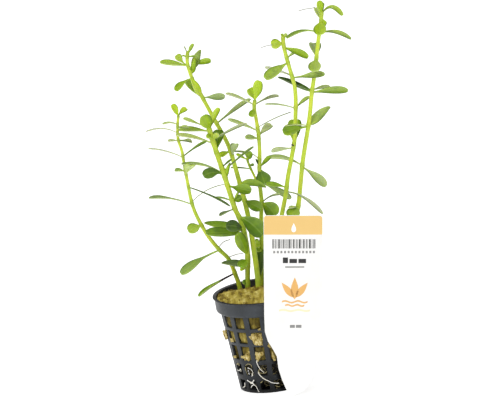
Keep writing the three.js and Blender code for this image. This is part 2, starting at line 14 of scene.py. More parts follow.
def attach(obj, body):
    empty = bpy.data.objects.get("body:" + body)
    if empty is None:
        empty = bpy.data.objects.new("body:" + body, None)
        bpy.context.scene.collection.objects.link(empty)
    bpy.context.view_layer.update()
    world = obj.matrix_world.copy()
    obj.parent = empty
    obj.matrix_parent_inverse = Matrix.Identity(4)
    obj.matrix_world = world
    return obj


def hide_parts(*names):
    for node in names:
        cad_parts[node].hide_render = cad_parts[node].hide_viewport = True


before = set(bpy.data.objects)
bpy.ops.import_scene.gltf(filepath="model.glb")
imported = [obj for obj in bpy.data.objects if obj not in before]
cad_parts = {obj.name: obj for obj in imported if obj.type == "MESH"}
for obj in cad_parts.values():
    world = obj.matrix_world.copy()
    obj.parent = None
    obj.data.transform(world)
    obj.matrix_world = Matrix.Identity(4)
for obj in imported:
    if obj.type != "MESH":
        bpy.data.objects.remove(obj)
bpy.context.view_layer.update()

MM = 0.001

# The pot, as in the frame.
POT_HEIGHT = 48.5
RIM_RADIUS = 25.4
FOOT_RADIUS = 17.5
FOOT_DARK_HEIGHT = 22
COLLAR_FOOT = 40.8
COLLAR_FOOT_RADIUS = 24.5
NET_TOP_RADIUS = 22.5
WALL = 1
WINDOW_COLUMNS = 16
WINDOW_PITCH = 360 / WINDOW_COLUMNS
FIRST_WINDOW = -106.8
SLICES_PER_COLUMN = 6
SLICES_PER_WINDOW = 4
WINDOW_ROWS = [(8, 14.2), (15.9, 22.1), (23.6, 31.1), (33.4, 39.2), (42, 46.8)]

# The tag, drawn on the sheet: [right, up].
TAG_THICKNESS = 0.6
TAG_TOP = 37.5
TAG_LEFT = 0.1
TAG_RIGHT = 29.7
TAG_CORNER = 1.6
TAG_LEAN = 0.12
TAG_BACK = -RIM_RADIUS - 0.35 + 6.7 * TAG_LEAN
TAG_FOOT = [
    (0.6, -12), (0.9, -20.4), (2.4, -25.2), (5.2, -29.7), (7, -33), (7.7, -38.8), (9.6, -44.7),
    (12.1, -50.2), (15.6, -52.4), (20, -50.2), (24, -45.5), (26.5, -39), (27.8, -33), (28.8, -27),
    (29.5, -21),
]
FILM_THICKNESS = 0.03

# The sheet that the plant is laid out on: upright over the rim's centre, leaning and rolled a
# little. A place is [right, up, back], with back the distance behind the pot's axis.
SHEET_TILT = math.radians(14.3)
SHEET_ROLL = math.radians(7.5)
TOWARD = Vector((0, -math.cos(SHEET_TILT), math.sin(SHEET_TILT)))
LEVEL = Vector((1, 0, 0))
RISE = Vector((0, math.sin(SHEET_TILT), math.cos(SHEET_TILT)))
RIGHT = LEVEL * math.cos(SHEET_ROLL) - RISE * math.sin(SHEET_ROLL)
UP = LEVEL * math.sin(SHEET_ROLL) + RISE * math.cos(SHEET_ROLL)
RIM_CENTRE = Vector((0, 0, POT_HEIGHT))

# A long lens, far off: its length, its distance and the place on the sheet that it looks at.
LENS = 1152
CAMERA_DISTANCE = 8000
AIM = (-6.5, 45.1)

DEAD = "#2B1F26"
LEAF_THICKNESS = 0.8
SOCKET_DEPTH = 6
LEAF_ROWS = 10
LEAF_FILES = 6
# Half widths of the leaf's outline, as shares of the widest, from its foot to its tip.
LEAF_OUTLINE = (0.13, 0.15, 0.22, 0.37, 0.57, 0.77, 0.92, 1.0, 0.98, 0.8, 0.36)

# Each stem: its radii at foot and tip, its path from the wool up, its leaves, its leaflets, and
# its side shoot if it has one. A leaf is (height of its base, (its tip), width, facing, arch, tone,
# pale, rise, stalk). Facing is the degrees that its upper side is turned from edge-on toward the
# viewer, arch and rise how far its middle bows out along its upper side and up, and stalk the share
# of it that is stalk. Tone runs from 0, an old dark leaf, to 1, a fresh one, and pale from 0 to 1, a
# chalky one, its pallor partly a painted sheen. The last three may be left out: pale and rise are
# then 0, and stalk is 0.2.
STEMS = {
    "far_left": {
        "radii": (1.2, 0.65),
        "path": [
            (-11.8, 2.1, 9), (-13.8, 7.8, 8), (-17.2, 15.6, 6), (-22, 20.4, 5), (-27, 26.5, 3),
            (-30.7, 32.5, 2), (-34.1, 39.4, 1), (-35.9, 45.1, 0), (-37.3, 52.1, -1),
            (-39.3, 62.6, -2), (-40.5, 69.7, -2), (-42.3, 75.3, -2), (-42.6, 82.4, -2),
            (-42.1, 87.9, -2),
        ],
        "leaves": [
            (8.7, (-32.9, -3.4, 2), 3.9, 20, 0.3, 0.5, -1, 0.6, 0.42),
            (20.2, (-41.7, 7.9, -3), 5.3, 60, 1.7, 0.48, 0.15, 0, 0.42),
            (32.5, (-37.7, 29.5, -3), 5.7, 75, 0.6, 0.7, 0.13),
            (58.1, (-36.2, 62.8, -9), 6.5, -75, 0.8, 0.73),
            (66.6, (-57.9, 71, -4), 1.6, 12, 0, 0.35, 0.75, 1, 0.3),
            (78.7, (-59.2, 79.1, -5), 1.4, 10, 0, 0.6, 0.95, 2.1, 0.3),
            (86.9, (-45.5, 92.9, -4), 3.7, 60, 0.5, 0.91, 0, 0, 0.15),
        ],
        "leaflets": [
            (51.8, (-15.7, 41.8, -4), 2.1, 15, 0.3, 0.15, 0, 0.6, 0.4),
            (44.2, (-18.6, 53.2, 7), 0.5, 5, 0, 0.5, 1, 2, 0.3),
            (59.6, (-44.4, 60.1, -1), 2.7, 40, 0.4, 0.57, 0.18),
            (74.8, (-47.7, 74.6, -4), 1.7, 50, 0.3, 1, 0.7),
            (75.1, (-35.1, 74.5, 1), 3.3, 30, 0.3, 0.73, 0.6, 0, 0.4),
            (81.6, (-36.8, 81.2, 0), 2.4, 40, 0.3, 0.77, 0.48),
            (43, (-57.6, 46.2, 3), 2.7, 35, 0, 0.37, 0.29, 1.5, 0.5),
            (82.9, (-50.4, 83, -5), 2, 20, 0, 0.72, 0.42, 1),
            (87.6, (-37.8, 91, 0), 3.3, 55, 0.6, 0.93, 0, 0, 0.15),
            (67, (-27.9, 74.6, -7), 2.3, 30, 0.2, 0.42, 0.08, 0.4, 0.35),
        ],
    },
    "left": {
        "radii": (1.3, 1.3),
        "path": [
            (-7.7, 2.6, 5), (-7.7, 9.2, 4.5), (-7.8, 19.3, 4), (-9.2, 27.9, 3), (-11.5, 35.5, 3),
            (-13.9, 40.4, 2), (-15.5, 45.3, 2), (-17.5, 51.6, 2), (-19.5, 58, 2), (-22.2, 65.8, 3),
            (-24.4, 72.5, 3), (-26.5, 79.2, 3), (-27.2, 81.6, 3),
        ],
        "leaves": [
            (15.2, (-12.1, 11.8, -3), 5.2, 80, 0.6, 0.49, 0, 0, 0.15),
            (17, (-13, 28.8, -4), 6.4, 75, 1, 0.5, 0.02, 0, 0.15),
            (28.4, (-29.4, 28.9, -4), 5.6, 65, 0.4, 0.39, 0.01, 0, 0.1),
            (30.3, (-30.2, 33.8, 6), 5.2, 62, 0.6, 0.51, 0.03, 0, 0.05),
            (30.1, (-18.7, 32.1, -6), 6.2, 75, 0.6, 0.11, 0, 0.6, 0.15),
            (36.6, (0.4, 27, -3), 9, 80, 1, 0.32, 0, 0.8, 0.15),
            (52.5, (-5.5, 49.5, -7), 5.6, 75, 0.5, 0.43, 0.02, -0.5, 0.3),
            (57.4, (-30.2, 57, -4), 5.6, 75, 0.5, 0.27, 0, 1.8, 0.3),
            (68.9, (-21.6, 80.7, 8), 6.2, 75, 1, 0.38),
            (73.5, (-44.2, 77.7, -8), 3.1, 35, 0.6, 0.96, 0.48, 0.3),
            (80, (-29.9, 87.5, -2), 6.6, 80, 0.6, 0.59, 0, 0, 0.15),
        ],
        "leaflets": [
            (3.1, (-10.2, 4.4, 3), 2.8, 60, 0.2, 0.29, 0.03),
            (11.9, (-11.5, 9.9, 1), 1.9, 60, 0.2, 1),
            (41, (-22.1, 37.2, -1), 2.3, 40, 0.2, 0.19, 0.23, 0, 0.4),
            (44.7, (-24.4, 46.5, 4), 1.8, 20, 0.2, 0.43, 0, 0.4),
            (44.1, (-11.9, 49.6, -1), 1.3, 60, 0.2, 0.62, 0.03, 0, 0.3),
            (45.1, (-10.5, 46.3, 0), 4.2, 70, 0.3, 0.45, 0.01),
            (61.4, (-15.6, 65.6, -3), 1.5, 35, 0.2, 0.28),
            (56.1, (-16.4, 64.1, 0), 2.4, 60, 0.2, 0.62, 0, 0, 0.05),
            (76.3, (-22.1, 77.4, -3), 3.2, 70, 0.4, 1, 0.28, 0, 0.15),
            (77, (-28.1, 76.5, -2), 3, 70, 0.4, 0.75, 0.09, 0, 0.15),
            (81.3, (-40.1, 86, -1), 2.4, 45, 0.2, 0.88, 0.4, 0, 0.45),
            (59.6, (-4.3, 72.2, -2), 2.2, 20, 0.4, 0.43, 0.18, 0, 0.4),
            (75.4, (-7.4, 83.8, -1), 2.6, 30, 0.4, 0.8, 0.8),
            (79.5, (-42.6, 80.2, 5), 3.7, 45, 0.4, 0.63, 0.14, 0.2),
            (80.4, (-21.7, 91.6, 5), 3.6, 55, 0.8, 0.89, 0.02, 0, 0.15),
            (13.4, (-21.3, 13.7, 0), 4.2, 60, 0.4, 0.18, 0.17, -0.4, 0.05),
            (58.3, (-41.6, 63.1, -7), 2.5, 30, 0.3, 0.53, 0.36, 1.9),
        ],
    },
    "mid_left": {
        "radii": (1.5, 0.85),
        "path": [
            (-2.3, 2.6, 2), (-3, 9.2, 2.5), (-4.6, 20.7, 4), (-6.8, 34.1, 6), (-8.4, 41.3, 7),
            (-9.9, 47.5, 7), (-11.7, 53.8, 8), (-14.7, 64.4, 9), (-17.1, 71.9, 9),
            (-20.6, 78.8, 10), (-24, 84.8, 10), (-28.2, 92.5, 10), (-31.5, 98.6, 9),
            (-34.8, 104.6, 8), (-36.7, 109.3, 7), (-37.8, 114.2, 6), (-37.5, 119.6, 6),
        ],
        "leaves": [
            (45.1, (-0.5, 40.3, 0), 6, 75, 1, 0.4, 0.01),
            (83.5, (-5.6, 96.3, 16), 3.5, 38, 0.6, 0.64, 0.48, 0, 0.25),
            (95.6, (-38.7, 104.9, 12), 5.4, 60, 0.5, 0.55, 0.07, 0, 0.15),
            (96.3, (-18.7, 96.7, 4), 3.9, 75, 0.2, 0.39, 0.35, 0, 0.25),
            (105.8, (-43.9, 99.3, 3), 3.7, 60, 0.4, 0.61, 0.01, 1.3, 0.45),
            (112.2, (-51.9, 113.9, 2), 3.7, 50, 0.4, 0.7, 0.13, 0, 0.15),
            (53.1, (2.1, 51.2, -3), 4.2, 66, 0.3, 0.49, 0.09, 1.6, 0.05),
        ],
        "leaflets": [
            (69.6, (-22.1, 67.2, 9), 3.1, 70, 0.3, 0.97, 0.03),
            (69.8, (-6.7, 68.7, 15), 2, 20, 0.3, 0.51, 0.53),
            (111.9, (-43.3, 117.8, 9), 3.8, 75, 0.2, 0.85, 0.13, -0.6, 0.5),
            (118, (-39.5, 121.9, 7), 0.8, 40, 0, 0.29, 0.53, 0.4),
            (67.5, (-13.7, 73.6, 1), 4.4, -75, 0.5, 0.48, 0.13),
            (97.2, (-36.3, 106.3, 3), 4, 70, 0.4, 0.94, 0.08, 0, 0.05),
            (117.7, (-34.6, 123.1, 4), 2.2, 55, 0.3, 0.64, 0.12, 0, 0.15),
            (116.3, (-40.5, 117.3, 8), 1.2, 40, 0.1, 0.75),
            (116.6, (-33.4, 117, 4), 1.2, 40, 0.1, 0.66),
        ],
        "shoot_radius": 0.65,
        "shoot": [(-35.9, 107.6, 7.6), (-35.2, 111.2, 8), (-34.5, 114, 8), (-34, 116.2, 8)],
        "shoot_leaves": [
            (108.2, (-33.3, 115.6, 6), 3.4, 60, 0.2, 0.57, 0, 0, 0.05),
            (112.8, (-25.6, 114.6, 6), 3.6, 60, 0.4, 0.6, 0.01, 0, 0.15),
            (110.4, (-31, 120.5, 9), 4.7, 60, 0.3, 0.64, 0.32, 0, 0.05),
        ],
    },
    "centre": {
        "radii": (1.25, 0.9),
        "path": [
            (-0.5, 4.6, 10), (-0.7, 20, 11), (-0.9, 36.5, 11), (-0.7, 44.2, 10), (-1.4, 51.6, 9),
            (-1.8, 60.3, 8), (-1.7, 69.2, 8), (-2.2, 77.5, 8), (-3.4, 85.3, 8), (-4.4, 91.6, 8),
            (-4, 95.6, 8),
        ],
        "leaves": [
            (21.4, (-1.5, 6.9, 5), 6.5, 65, 0.6, 0.17, 0.08, 0, 0.05),
            (43.1, (6.4, 36.7, 6), 8, 80, 0.8, 0.47, 0.03, 1, 0.15),
            (54.2, (14.6, 45.6, 12), 4, -60, 0.8, 0.5, 0.04, 0, 0.3),
            (61, (1, 52.7, 5), 8, 80, 0.3, 0.29, 0, 0, 0.15),
            (79.9, (-18, 85.8, 4), 3.3, 30, 0.5, 0.67, 0.42),
            (94.7, (-1.8, 105, 4), 5.3, 75, 0.6, 0.79, 0, 0, 0.15),
        ],
        "leaflets": [
            (22.6, (-4.4, 23.4, 7), 5, 65, 0.3, 0.75),
            (21, (-4.2, 20.4, 7), 4.4, 65, 0.3, 0.59),
            (44, (8.9, 48, 5), 1.8, 20, 0.1, 0.8, 0.8, 1.2, 0.3),
            (61.5, (4, 66.9, 4), 2.8, 50, 0.4, 0.55),
            (81.4, (15.2, 89.6, 6), 0.8, 5, 0, 0.5, 0.9, 0.8),
            (92.7, (8.4, 97.3, 12), 2.5, 40, 0.2, 0.94, 0.8, 0.8, 0.35),
            (95.2, (-6.7, 101.3, 9), 5.2, 70, 0.4, 0.75, 0.05, 0, 0.15),
            (75.8, (-9.1, 76.4, 4), 3.1, 55, 0.4, 0.65, 0.43),
            (77.4, (4.7, 83, 11), 4.3, 55, 0.6, 0.87, 0.7),
            (91.1, (-6, 86.6, 3), 3.6, 80, 0.4, 0.63, 0.02),
            (92.8, (-19.2, 98.5, 3), 2.7, 30, 0.6, 0.95, 0.68),
            (61.7, (-3.6, 65.8, 6), 1, 60, 0.1, 0),
            (65.2, (-6.7, 68.5, 12), 0.8, 20, 0.1, 0.7, 0.7, 0.7, 0.3),
        ],
        "shoot_radius": 0.6,
        "shoot": [
            (-1.4, 50.1, 9.2), (-4.4, 57.2, 11), (-6.6, 61.8, 11), (-7.8, 65.2, 10),
            (-7.9, 66.6, 9),
        ],
        "shoot_leaves": [
            (60.9, (-16.6, 61.4, 14), 1.4, 20, 0.2, 0.21),
            (62.5, (-4.4, 62.6, 10), 1.8, 50, 0.2, 0.4),
            (65.4, (-13.5, 68.2, 7), 2, 50, 0.2, 0.78),
            (64.7, (-6.2, 69.4, 7), 4.5, 65, 0.2, 0.47, 0.06),
        ],
    },
    "right": {
        "radii": (1.2, 1),
        "path": [
            (2.5, 2.6, 6), (5.7, 20, 4), (9.5, 38.2, 1), (11.4, 48.4, -1), (12.5, 57, -1),
            (14.4, 67, 0), (15.8, 75.9, 1), (16.2, 87.5, 1), (16.3, 94.2, 1), (15.8, 101.4, 1),
            (13.9, 108.5, 0.5), (11.8, 115.7, 0), (10.2, 122.4, -1), (9.9, 127.2, -1),
        ],
        "leaves": [
            (49.5, (30.5, 37.7, -14), 2.7, 45, 0.6, 0.75, 0.85, 2.1, 0.35),
            (51.4, (1.2, 53.3, -6), 3, 60, 0.5, 0.54, 0, 0.2),
            (72.8, (16.1, 85.9, 9), 7.4, 78, 0.8, 0.59, 0, 0, 0.15),
            (106.2, (31.2, 107.8, -10), 4, 60, 0.4, 0.56, 0.23, 0, 0.3),
            (107.4, (0.4, 111.6, 8), 2.6, -40, 0.5, 0.37, 0.79),
            (113.7, (0.5, 105.2, -8), 5.7, 70, 0.8, 0.62, 0.16),
            (121.2, (23, 115.8, -5), 4.1, 62, 0.4, 0.58, 0.01, 0, 0.1),
            (122.9, (3.8, 122.5, -5), 5.3, 80, 0.4, 0.87, 0.09, 0, 0.15),
        ],
        "leaflets": [
            (115.8, (16.5, 119.1, -2), 1.8, 50, 0.3, 0.69, 0.42),
            (125.4, (9.2, 128.1, 0), 1.6, 60, 0.2, 0.71),
            (125.6, (11.9, 127.9, -2), 2.1, 60, 0.2, 0.79, 0.24),
            (71.2, (3.6, 69.5, -5), 3.1, -50, 0.4, 0.56, 0.26, 0, 0.3),
            (91.4, (23.5, 97, 4), 2.7, 40, 0.3, 0.68, 0.26),
            (91, (0.4, 93, -5), 2, 15, 0.1, 0.5, 0.4, 0.8, 0.25),
        ],
    },
    "far_right": {
        "radii": (1.3, 1),
        "path": [
            (5.5, 2.1, 2), (12, 22, 2), (17.5, 41.6, 1), (18.6, 51.9, 0), (19.7, 63.4, -1),
            (20.6, 69.6, -1), (22.4, 80.7, -2), (23.5, 89.5, -2), (24.3, 98.4, -2),
            (25.3, 105.3, -2), (26.5, 115.1, -3), (27.6, 125.2, -3), (28.9, 134.4, -3),
            (29.2, 139.6, -3),
        ],
        "leaves": [
            (42.3, (13.7, 36.1, -6), 7.2, 72, 0.6, 0.56, 0.08),
            (61.9, (31.9, 51.6, -8), 4.9, 70, 0.6, 0.6, 0.48, 0, 0.25),
            (62.5, (0.4, 66.3, 15), 3.9, 40, 0.4, 0.61, 0.44, 1.8),
            (81.8, (9.6, 78.7, -11), 6, 72, 0.8, 0.48, 0, -0.2, 0.38),
            (82.5, (34, 92, 4), 5.4, 62, 0.6, 0.62, 0.31, 0, 0.05),
            (98.9, (43.1, 99.7, -6), 4.4, 62, 0.5, 0.52, 0.15, 0, 0.15),
            (99.4, (6.6, 106.8, 12), 3.3, 50, 0.4, 0.07, 0, 0, 0.05),
            (115.4, (25.4, 108.9, -12), 6.7, 80, 0.6, 0.68, 0.22, 0, 0.15),
            (116, (25.3, 123.8, 6), 6.3, 78, 0.6, 0.5, 0.38, 0, 0.15),
            (128.3, (44.7, 125, -1), 3.2, 40, 0.3, 0.66, 0.23, 2),
            (134.3, (28.3, 127.1, -12), 6.7, 80, 0.6, 0.73, 0.02, 0, 0.15),
            (138, (40.2, 136.4, -6), 3.2, 40, 0.2, 0.79, 0.13, 4, 0.15),
        ],
        "leaflets": [
            (134.7, (26, 141.3, 2), 3.2, 60, 0.3, 0.85, 0.41, 0, 0.15),
            (100.2, (33.8, 102.1, 6), 2.6, 45, 0.4, 0.72, 0.46),
            (82.4, (10.4, 82.1, -10), 1.4, 25, 0.2, 0.88, 0.39, 0.3),
            (41.9, (12.8, 41.2, -4), 2.2, 35, 0.2, 0.76, 0.5),
            (138, (27.7, 144.3, -6), 4, 70, 0.2, 0.67, 0, 0, 0.15),
            (137.6, (29.6, 143.6, 1), 2.8, 60, 0.2, 0.48, 0, 0, 0.15),
            (128.4, (11, 125.3, -10), 2.5, 40, 0.3, 0.52, 0.13, 2.2, 0.3),
            (130.2, (31, 134.6, -4), 4.2, 70, 0.2, 0.75, 0.05, 0, 0.15),
        ],
    },
}


def srgb(code):
    """The linear colour of an sRGB hex value."""
    parts = [int(code[i:i + 2], 16) / 255 for i in (1, 3, 5)]
    linear = [c / 12.92 if c <= 0.04045 else ((c + 0.055) / 1.055) ** 2.4 for c in parts]
    return (*linear, 1)


def place(spot):
    """The point [right, up, back] of the sheet in the pot's frame."""
    right, up, back = spot
    point = RIM_CENTRE + RIGHT * right + UP * up
    return point + TOWARD * ((back - point.y) / TOWARD.y)


# Modelling by hand.


def clear():
    bpy.ops.object.select_all(action="DESELECT")


def work_on(piece):
    """Makes a piece the only one selected, and active."""
    clear()
    piece.select_set(True)
    bpy.context.view_layer.objects.active = piece


def pick(piece, kind, wanted):
    """Opens a piece in edit mode with just the vertices, edges or faces that pass the test."""
    work_on(piece)
    bpy.ops.object.mode_set(mode="EDIT")
    bpy.ops.mesh.select_mode(type=kind)
    bpy.ops.mesh.select_all(action="DESELECT")
    bpy.ops.object.mode_set(mode="OBJECT")
    mesh = piece.data
    items = {"VERT": mesh.vertices, "EDGE": mesh.edges, "FACE": mesh.polygons}[kind]
    for item in items:
        item.select = wanted(item)
    bpy.ops.object.mode_set(mode="EDIT")


def pick_all(piece):
    """Opens a piece in edit mode with all of it picked."""
    work_on(piece)
    bpy.ops.object.mode_set(mode="EDIT")
    bpy.ops.mesh.select_mode(type="VERT")
    bpy.ops.mesh.select_all(action="SELECT")


def leave():
    bpy.ops.object.mode_set(mode="OBJECT")


def apply_modifier(piece, kind, **settings):
    modifier = piece.modifiers.new(kind.title(), kind)
    for name, value in settings.items():
        setattr(modifier, name, value)
    work_on(piece)
    bpy.ops.object.modifier_apply(modifier=modifier.name)


def name_piece(name):
    piece = bpy.context.object
    piece.name = name
    piece.data.name = name
    return piece


def draw_line(name, points):
    """A chain of edges through points in millimetres, extruded from a single vertex."""
    clear()
    start = Vector(points[0]) * MM
    bpy.ops.mesh.primitive_plane_add(size=MM, location=start)
    piece = name_piece(name)
    bpy.ops.object.transform_apply(location=True)
    pick_all(piece)
    bpy.ops.mesh.merge(type="CENTER")
    for here, there in zip(points, points[1:]):
        step = (Vector(there) - Vector(here)) * MM
        bpy.ops.mesh.extrude_region_move(TRANSFORM_OT_translate={"value": step})
    leave()
    return piece


def spin_round(piece, steps):
    """Spins a profile once round the Z axis."""
    pick_all(piece)
    bpy.ops.mesh.spin(steps=steps, angle=2 * math.pi, center=(0, 0, 0), axis=(0, 0, 1))
    bpy.ops.mesh.select_all(action="SELECT")
    bpy.ops.mesh.remove_doubles(threshold=0.01 * MM)
    bpy.ops.mesh.normals_make_consistent(inside=False)
    leave()


def smooth(piece, angle=35):
    work_on(piece)
    bpy.ops.object.shade_smooth_by_angle(angle=math.radians(angle))


def set_values(piece, name, values):
    """Writes one number for each vertex as a named attribute of the piece."""
    attribute = piece.data.attributes.new(name, "FLOAT", "POINT")
    attribute.data.foreach_set("value", values)


def join(pieces, name):
    clear()
    for piece in pieces:
        piece.select_set(True)
    bpy.context.view_layer.objects.active = pieces[0]
    bpy.ops.object.join()
    return name_piece(name)


def tube(name, points, radii, roundness=3):
    """A round stalk of vertices through points in millimetres, closed at both ends."""
    curve = bpy.data.curves.new(name, "CURVE")
    curve.dimensions = "3D"
    curve.bevel_depth = MM
    curve.bevel_resolution = roundness
    curve.use_fill_caps = True
    spline = curve.splines.new("POLY")
    spline.points.add(len(points) - 1)
    for knot, point, radius in zip(spline.points, points, radii):
        knot.co = (*(Vector(point) * MM), 1)
        knot.radius = radius
    piece = bpy.data.objects.new(name, curve)
    bpy.context.collection.objects.link(piece)
    work_on(piece)
    bpy.ops.object.convert(target="MESH")
    piece = name_piece(name)
    pick_all(piece)
    bpy.ops.mesh.remove_doubles(threshold=0.001 * MM)
    bpy.ops.mesh.normals_make_consistent(inside=False)
    leave()
    return piece


# Materials.


def wire(made, inputs):
    """Fills a node's inputs: an output is linked, and a hex code is a colour."""
    for name, value in dict(inputs).items():
        socket = made.inputs[name]
        if isinstance(value, bpy.types.NodeSocket):
            made.id_data.links.new(value, socket)
        else:
            socket.default_value = srgb(value) if isinstance(value, str) else value


def node(tree, kind, inputs=(), out=0, stops=(), **settings):
    """Adds a node with its settings, colour stops, values and links, and gives one of its outputs."""
    made = tree.nodes.new(f"ShaderNode{kind}")
    for name, value in settings.items():
        setattr(made, name, value)
    for _ in stops[2:]:
        made.color_ramp.elements.new(0.5)
    for number, (spot, code) in enumerate(stops):
        made.color_ramp.elements[number].position = spot
        made.color_ramp.elements[number].color = srgb(code)
    wire(made, inputs)
    return made.outputs[out]


def new_material(name):
    material = bpy.data.materials.new(name)
    material.use_nodes = True
    tree = material.node_tree
    return material, tree, tree.nodes["Principled BSDF"]


def one_colour(name, code, roughness):
    """A film of ink or a dead thread, too thin to show more than its colour."""
    material, _, shader = new_material(name)
    wire(shader, {"Base Color": code, "Roughness": roughness})
    return material


def mottled(name, size, stops, finish, detail=3, rough=0.5, drawn_out=None, relief=None):
    """A finish whose colour runs through the stops by lumps of a size in millimetres. Drawn_out
    stretches the lumps, and relief is how deep and how strongly they stand out."""
    material, tree, shader = new_material(name)
    spot = node(tree, "TexCoord", out="Object")
    if drawn_out:
        spot = node(tree, "Mapping", {"Vector": spot, "Scale": drawn_out})
    lumps = node(
        tree, "TexNoise",
        {"Vector": spot, "Scale": 1 / (size * MM), "Detail": detail, "Roughness": rough},
    )
    wire(shader, {"Base Color": node(tree, "ValToRGB", {"Fac": lumps}, stops=stops), **finish})
    if relief:
        depth, strength = relief
        raised = {"Height": lumps, "Strength": strength, "Distance": depth * MM}
        wire(shader, {"Normal": node(tree, "Bump", raised)})
    return material


def moulded_polypropylene():
    """Injection-moulded polypropylene, dark slate: a soft sheen over a faint orange-peel skin, a little
    darker toward the foot, and blackened by a painted shadow beside the tag's slanting edge."""
    material, tree, shader = new_material("moulded_polypropylene")
    spot = node(tree, "TexCoord", out="Object")
    height = node(tree, "SeparateXYZ", {"Vector": spot}, "Z")
    cloud = node(tree, "TexNoise", {"Vector": spot, "Scale": 1 / (7 * MM), "Detail": 3})
    # Darker toward the foot.
    foot_dark = node(
        tree, "MapRange", {"Value": height, "From Max": FOOT_DARK_HEIGHT * MM, "To Min": -0.5, "To Max": 0},
    )
    # The tag's painted shadow lies along the tag's edge, which crosses the sheet on this slant.
    slant = RIGHT + UP * 0.306
    edge = RIM_CENTRE.dot(slant) - 4
    beside = node(tree, "VectorMath", {0: spot, 1: slant}, "Value", operation="DOT_PRODUCT")
    reach = node(
        tree, "MapRange",
        {"Value": beside, "From Min": (edge - 2.8) * MM, "From Max": (edge + 6) * MM},
    )
    film = node(
        tree, "ValToRGB", {"Fac": reach},
        stops=[(0, "#000000"), (0.18, "#FFFFFF"), (0.75, "#FFFFFF"), (1, "#000000")],
    )
    # The painted shadow fades out between 22 and 27 mm up the wall.
    low = node(
        tree, "MapRange",
        {"Value": height, "From Min": 27 * MM, "From Max": FOOT_DARK_HEIGHT * MM, "To Max": 0.5},
    )
    tag_shadow = node(tree, "Math", {0: film, 1: low}, operation="MULTIPLY")
    foot_dark_and_tag_shadow = node(tree, "Math", {0: foot_dark, 1: tag_shadow}, operation="SUBTRACT")
    shade = node(tree, "Math", {0: cloud, 1: foot_dark_and_tag_shadow}, operation="ADD")
    grain = node(tree, "TexNoise", {"Vector": spot, "Scale": 1 / (0.8 * MM), "Detail": 2})
    wire(shader, {
        "Base Color": node(
            tree, "ValToRGB", {"Fac": shade},
            stops=[(0.0, "#121314"), (0.35, "#282C30"), (0.7, "#383D42")],
        ),
        "Roughness": node(tree, "MapRange", {"Value": grain, "To Min": 0.34, "To Max": 0.56}),
        "Normal": node(tree, "Bump", {"Height": grain, "Strength": 0.5, "Distance": 0.05 * MM}),
        "IOR": 1.49,
        # The specular level drops where the foot is darker and under the painted shadow.
        "Specular IOR Level": node(
            tree, "MapRange",
            {"Value": foot_dark_and_tag_shadow, "From Min": -0.8, "From Max": 0, "To Min": 0.02, "To Max": 0.35},
        ),
    })
    return material


def shaded_polypropylene():
    """The same plastic inside the pot and over its lip, as a darker copy: painted shade, nearly black.
    """
    return mottled(
        "shaded_polypropylene", 3, [(0.35, "#0C0D0E"), (0.75, "#1B1D1F")],
        {"Roughness": 0.6}, detail=4,
    )


def mineral_wool():
    """Wet mineral wool: matted fibres, golden ochre with umber streaks that run up and down, and
    painted shade of olive brown to near black where its per-window shade attribute is high."""
    material, tree, shader = new_material("matted_mineral_wool")
    spot = node(tree, "TexCoord", out="Object")
    spot = node(tree, "Mapping", {"Vector": spot, "Scale": (1, 0.2, 0.3)})
    streaks = node(tree, "TexNoise", {"Vector": spot, "Scale": 1 / (2.4 * MM), "Detail": 3})
    fibres = node(
        tree, "TexNoise", {"Vector": spot, "Scale": 1 / (0.4 * MM), "Detail": 3, "Roughness": 0.6},
    )
    mix = node(tree, "Math", {0: fibres, 1: 0.24, 2: streaks}, operation="MULTIPLY_ADD")
    dry = node(
        tree, "ValToRGB", {"Fac": mix},
        stops=[(0.42, "#665420"), (0.53, "#998531"), (0.66, "#BEA948"), (0.8, "#E2D27E")],
    )
    # The wool in painted shade: olive brown down to near black.
    in_shade = node(
        tree, "ValToRGB", {"Fac": mix},
        stops=[(0.42, "#0E0C06"), (0.55, "#3B3213"), (0.68, "#6E6026"), (0.82, "#A4934A")],
    )
    window_shade = node(tree, "Attribute", out="Fac", attribute_name="window_shade")
    wire(shader, {
        "Base Color": node(tree, "Mix", {0: window_shade, 6: dry, 7: in_shade}, 2, data_type="RGBA"),
        "Normal": node(tree, "Bump", {"Height": mix, "Strength": 0.6, "Distance": 0.35 * MM}),
        "Roughness": 0.85, "Specular IOR Level": 0.2,
    })
    return material


def dry_wool():
    """Wool that has dried outside the pot: sandy and pale, with straw and umber fibres."""
    return mottled(
        "dried_mineral_wool", 1.1,
        [(0.36, "#5C4A1C"), (0.46, "#A8934C"), (0.56, "#CDBA7A"), (0.68, "#EDE0B4")],
        {"Roughness": 0.85, "Specular IOR Level": 0.2},
        detail=5, rough=0.7, drawn_out=(1, 0.6, 0.5), relief=(0.4, 0.8),
    )


def rock_fibre():
    """Loose strands of the wool, from straw to umber by where they lie."""
    return mottled(
        "rock_fibre", 1.6, [(0.36, "#6A5417"), (0.5, "#A38A32"), (0.66, "#D2BB5E")],
        {"Roughness": 0.7, "Specular IOR Level": 0.2}, rough=0.6,
    )


def packed_roots():
    """A mat of old roots and humus, nearly black in the shade of the pot."""
    return mottled(
        "packed_roots", 1.2, [(0.4, "#0D0C0A"), (0.62, "#2A2318"), (0.8, "#4C3F2A")],
        {"Roughness": 0.7}, detail=4, rough=0.7, relief=(0.8, 0.9),
    )


def white_roots():
    """Young water roots: ivory white and smooth."""
    return mottled("young_roots", 3, [(0.35, "#EDE7D2"), (0.6, "#FFFDF6")], {"Roughness": 0.35})


def old_roots():
    """Roots that have aged in the water: olive and tan."""
    return mottled(
        "aged_roots", 2, [(0.35, "#5A512F"), (0.5, "#8C8256"), (0.65, "#B5A878")], {"Roughness": 0.5},
    )


def label_sheet():
    """White polystyrene sheet: very smooth, with a faint pearl gloss."""
    return mottled("label_sheet", 14, [(0.3, "#F4F3EF"), (0.7, "#FBFAF8")], {"Roughness": 0.35})


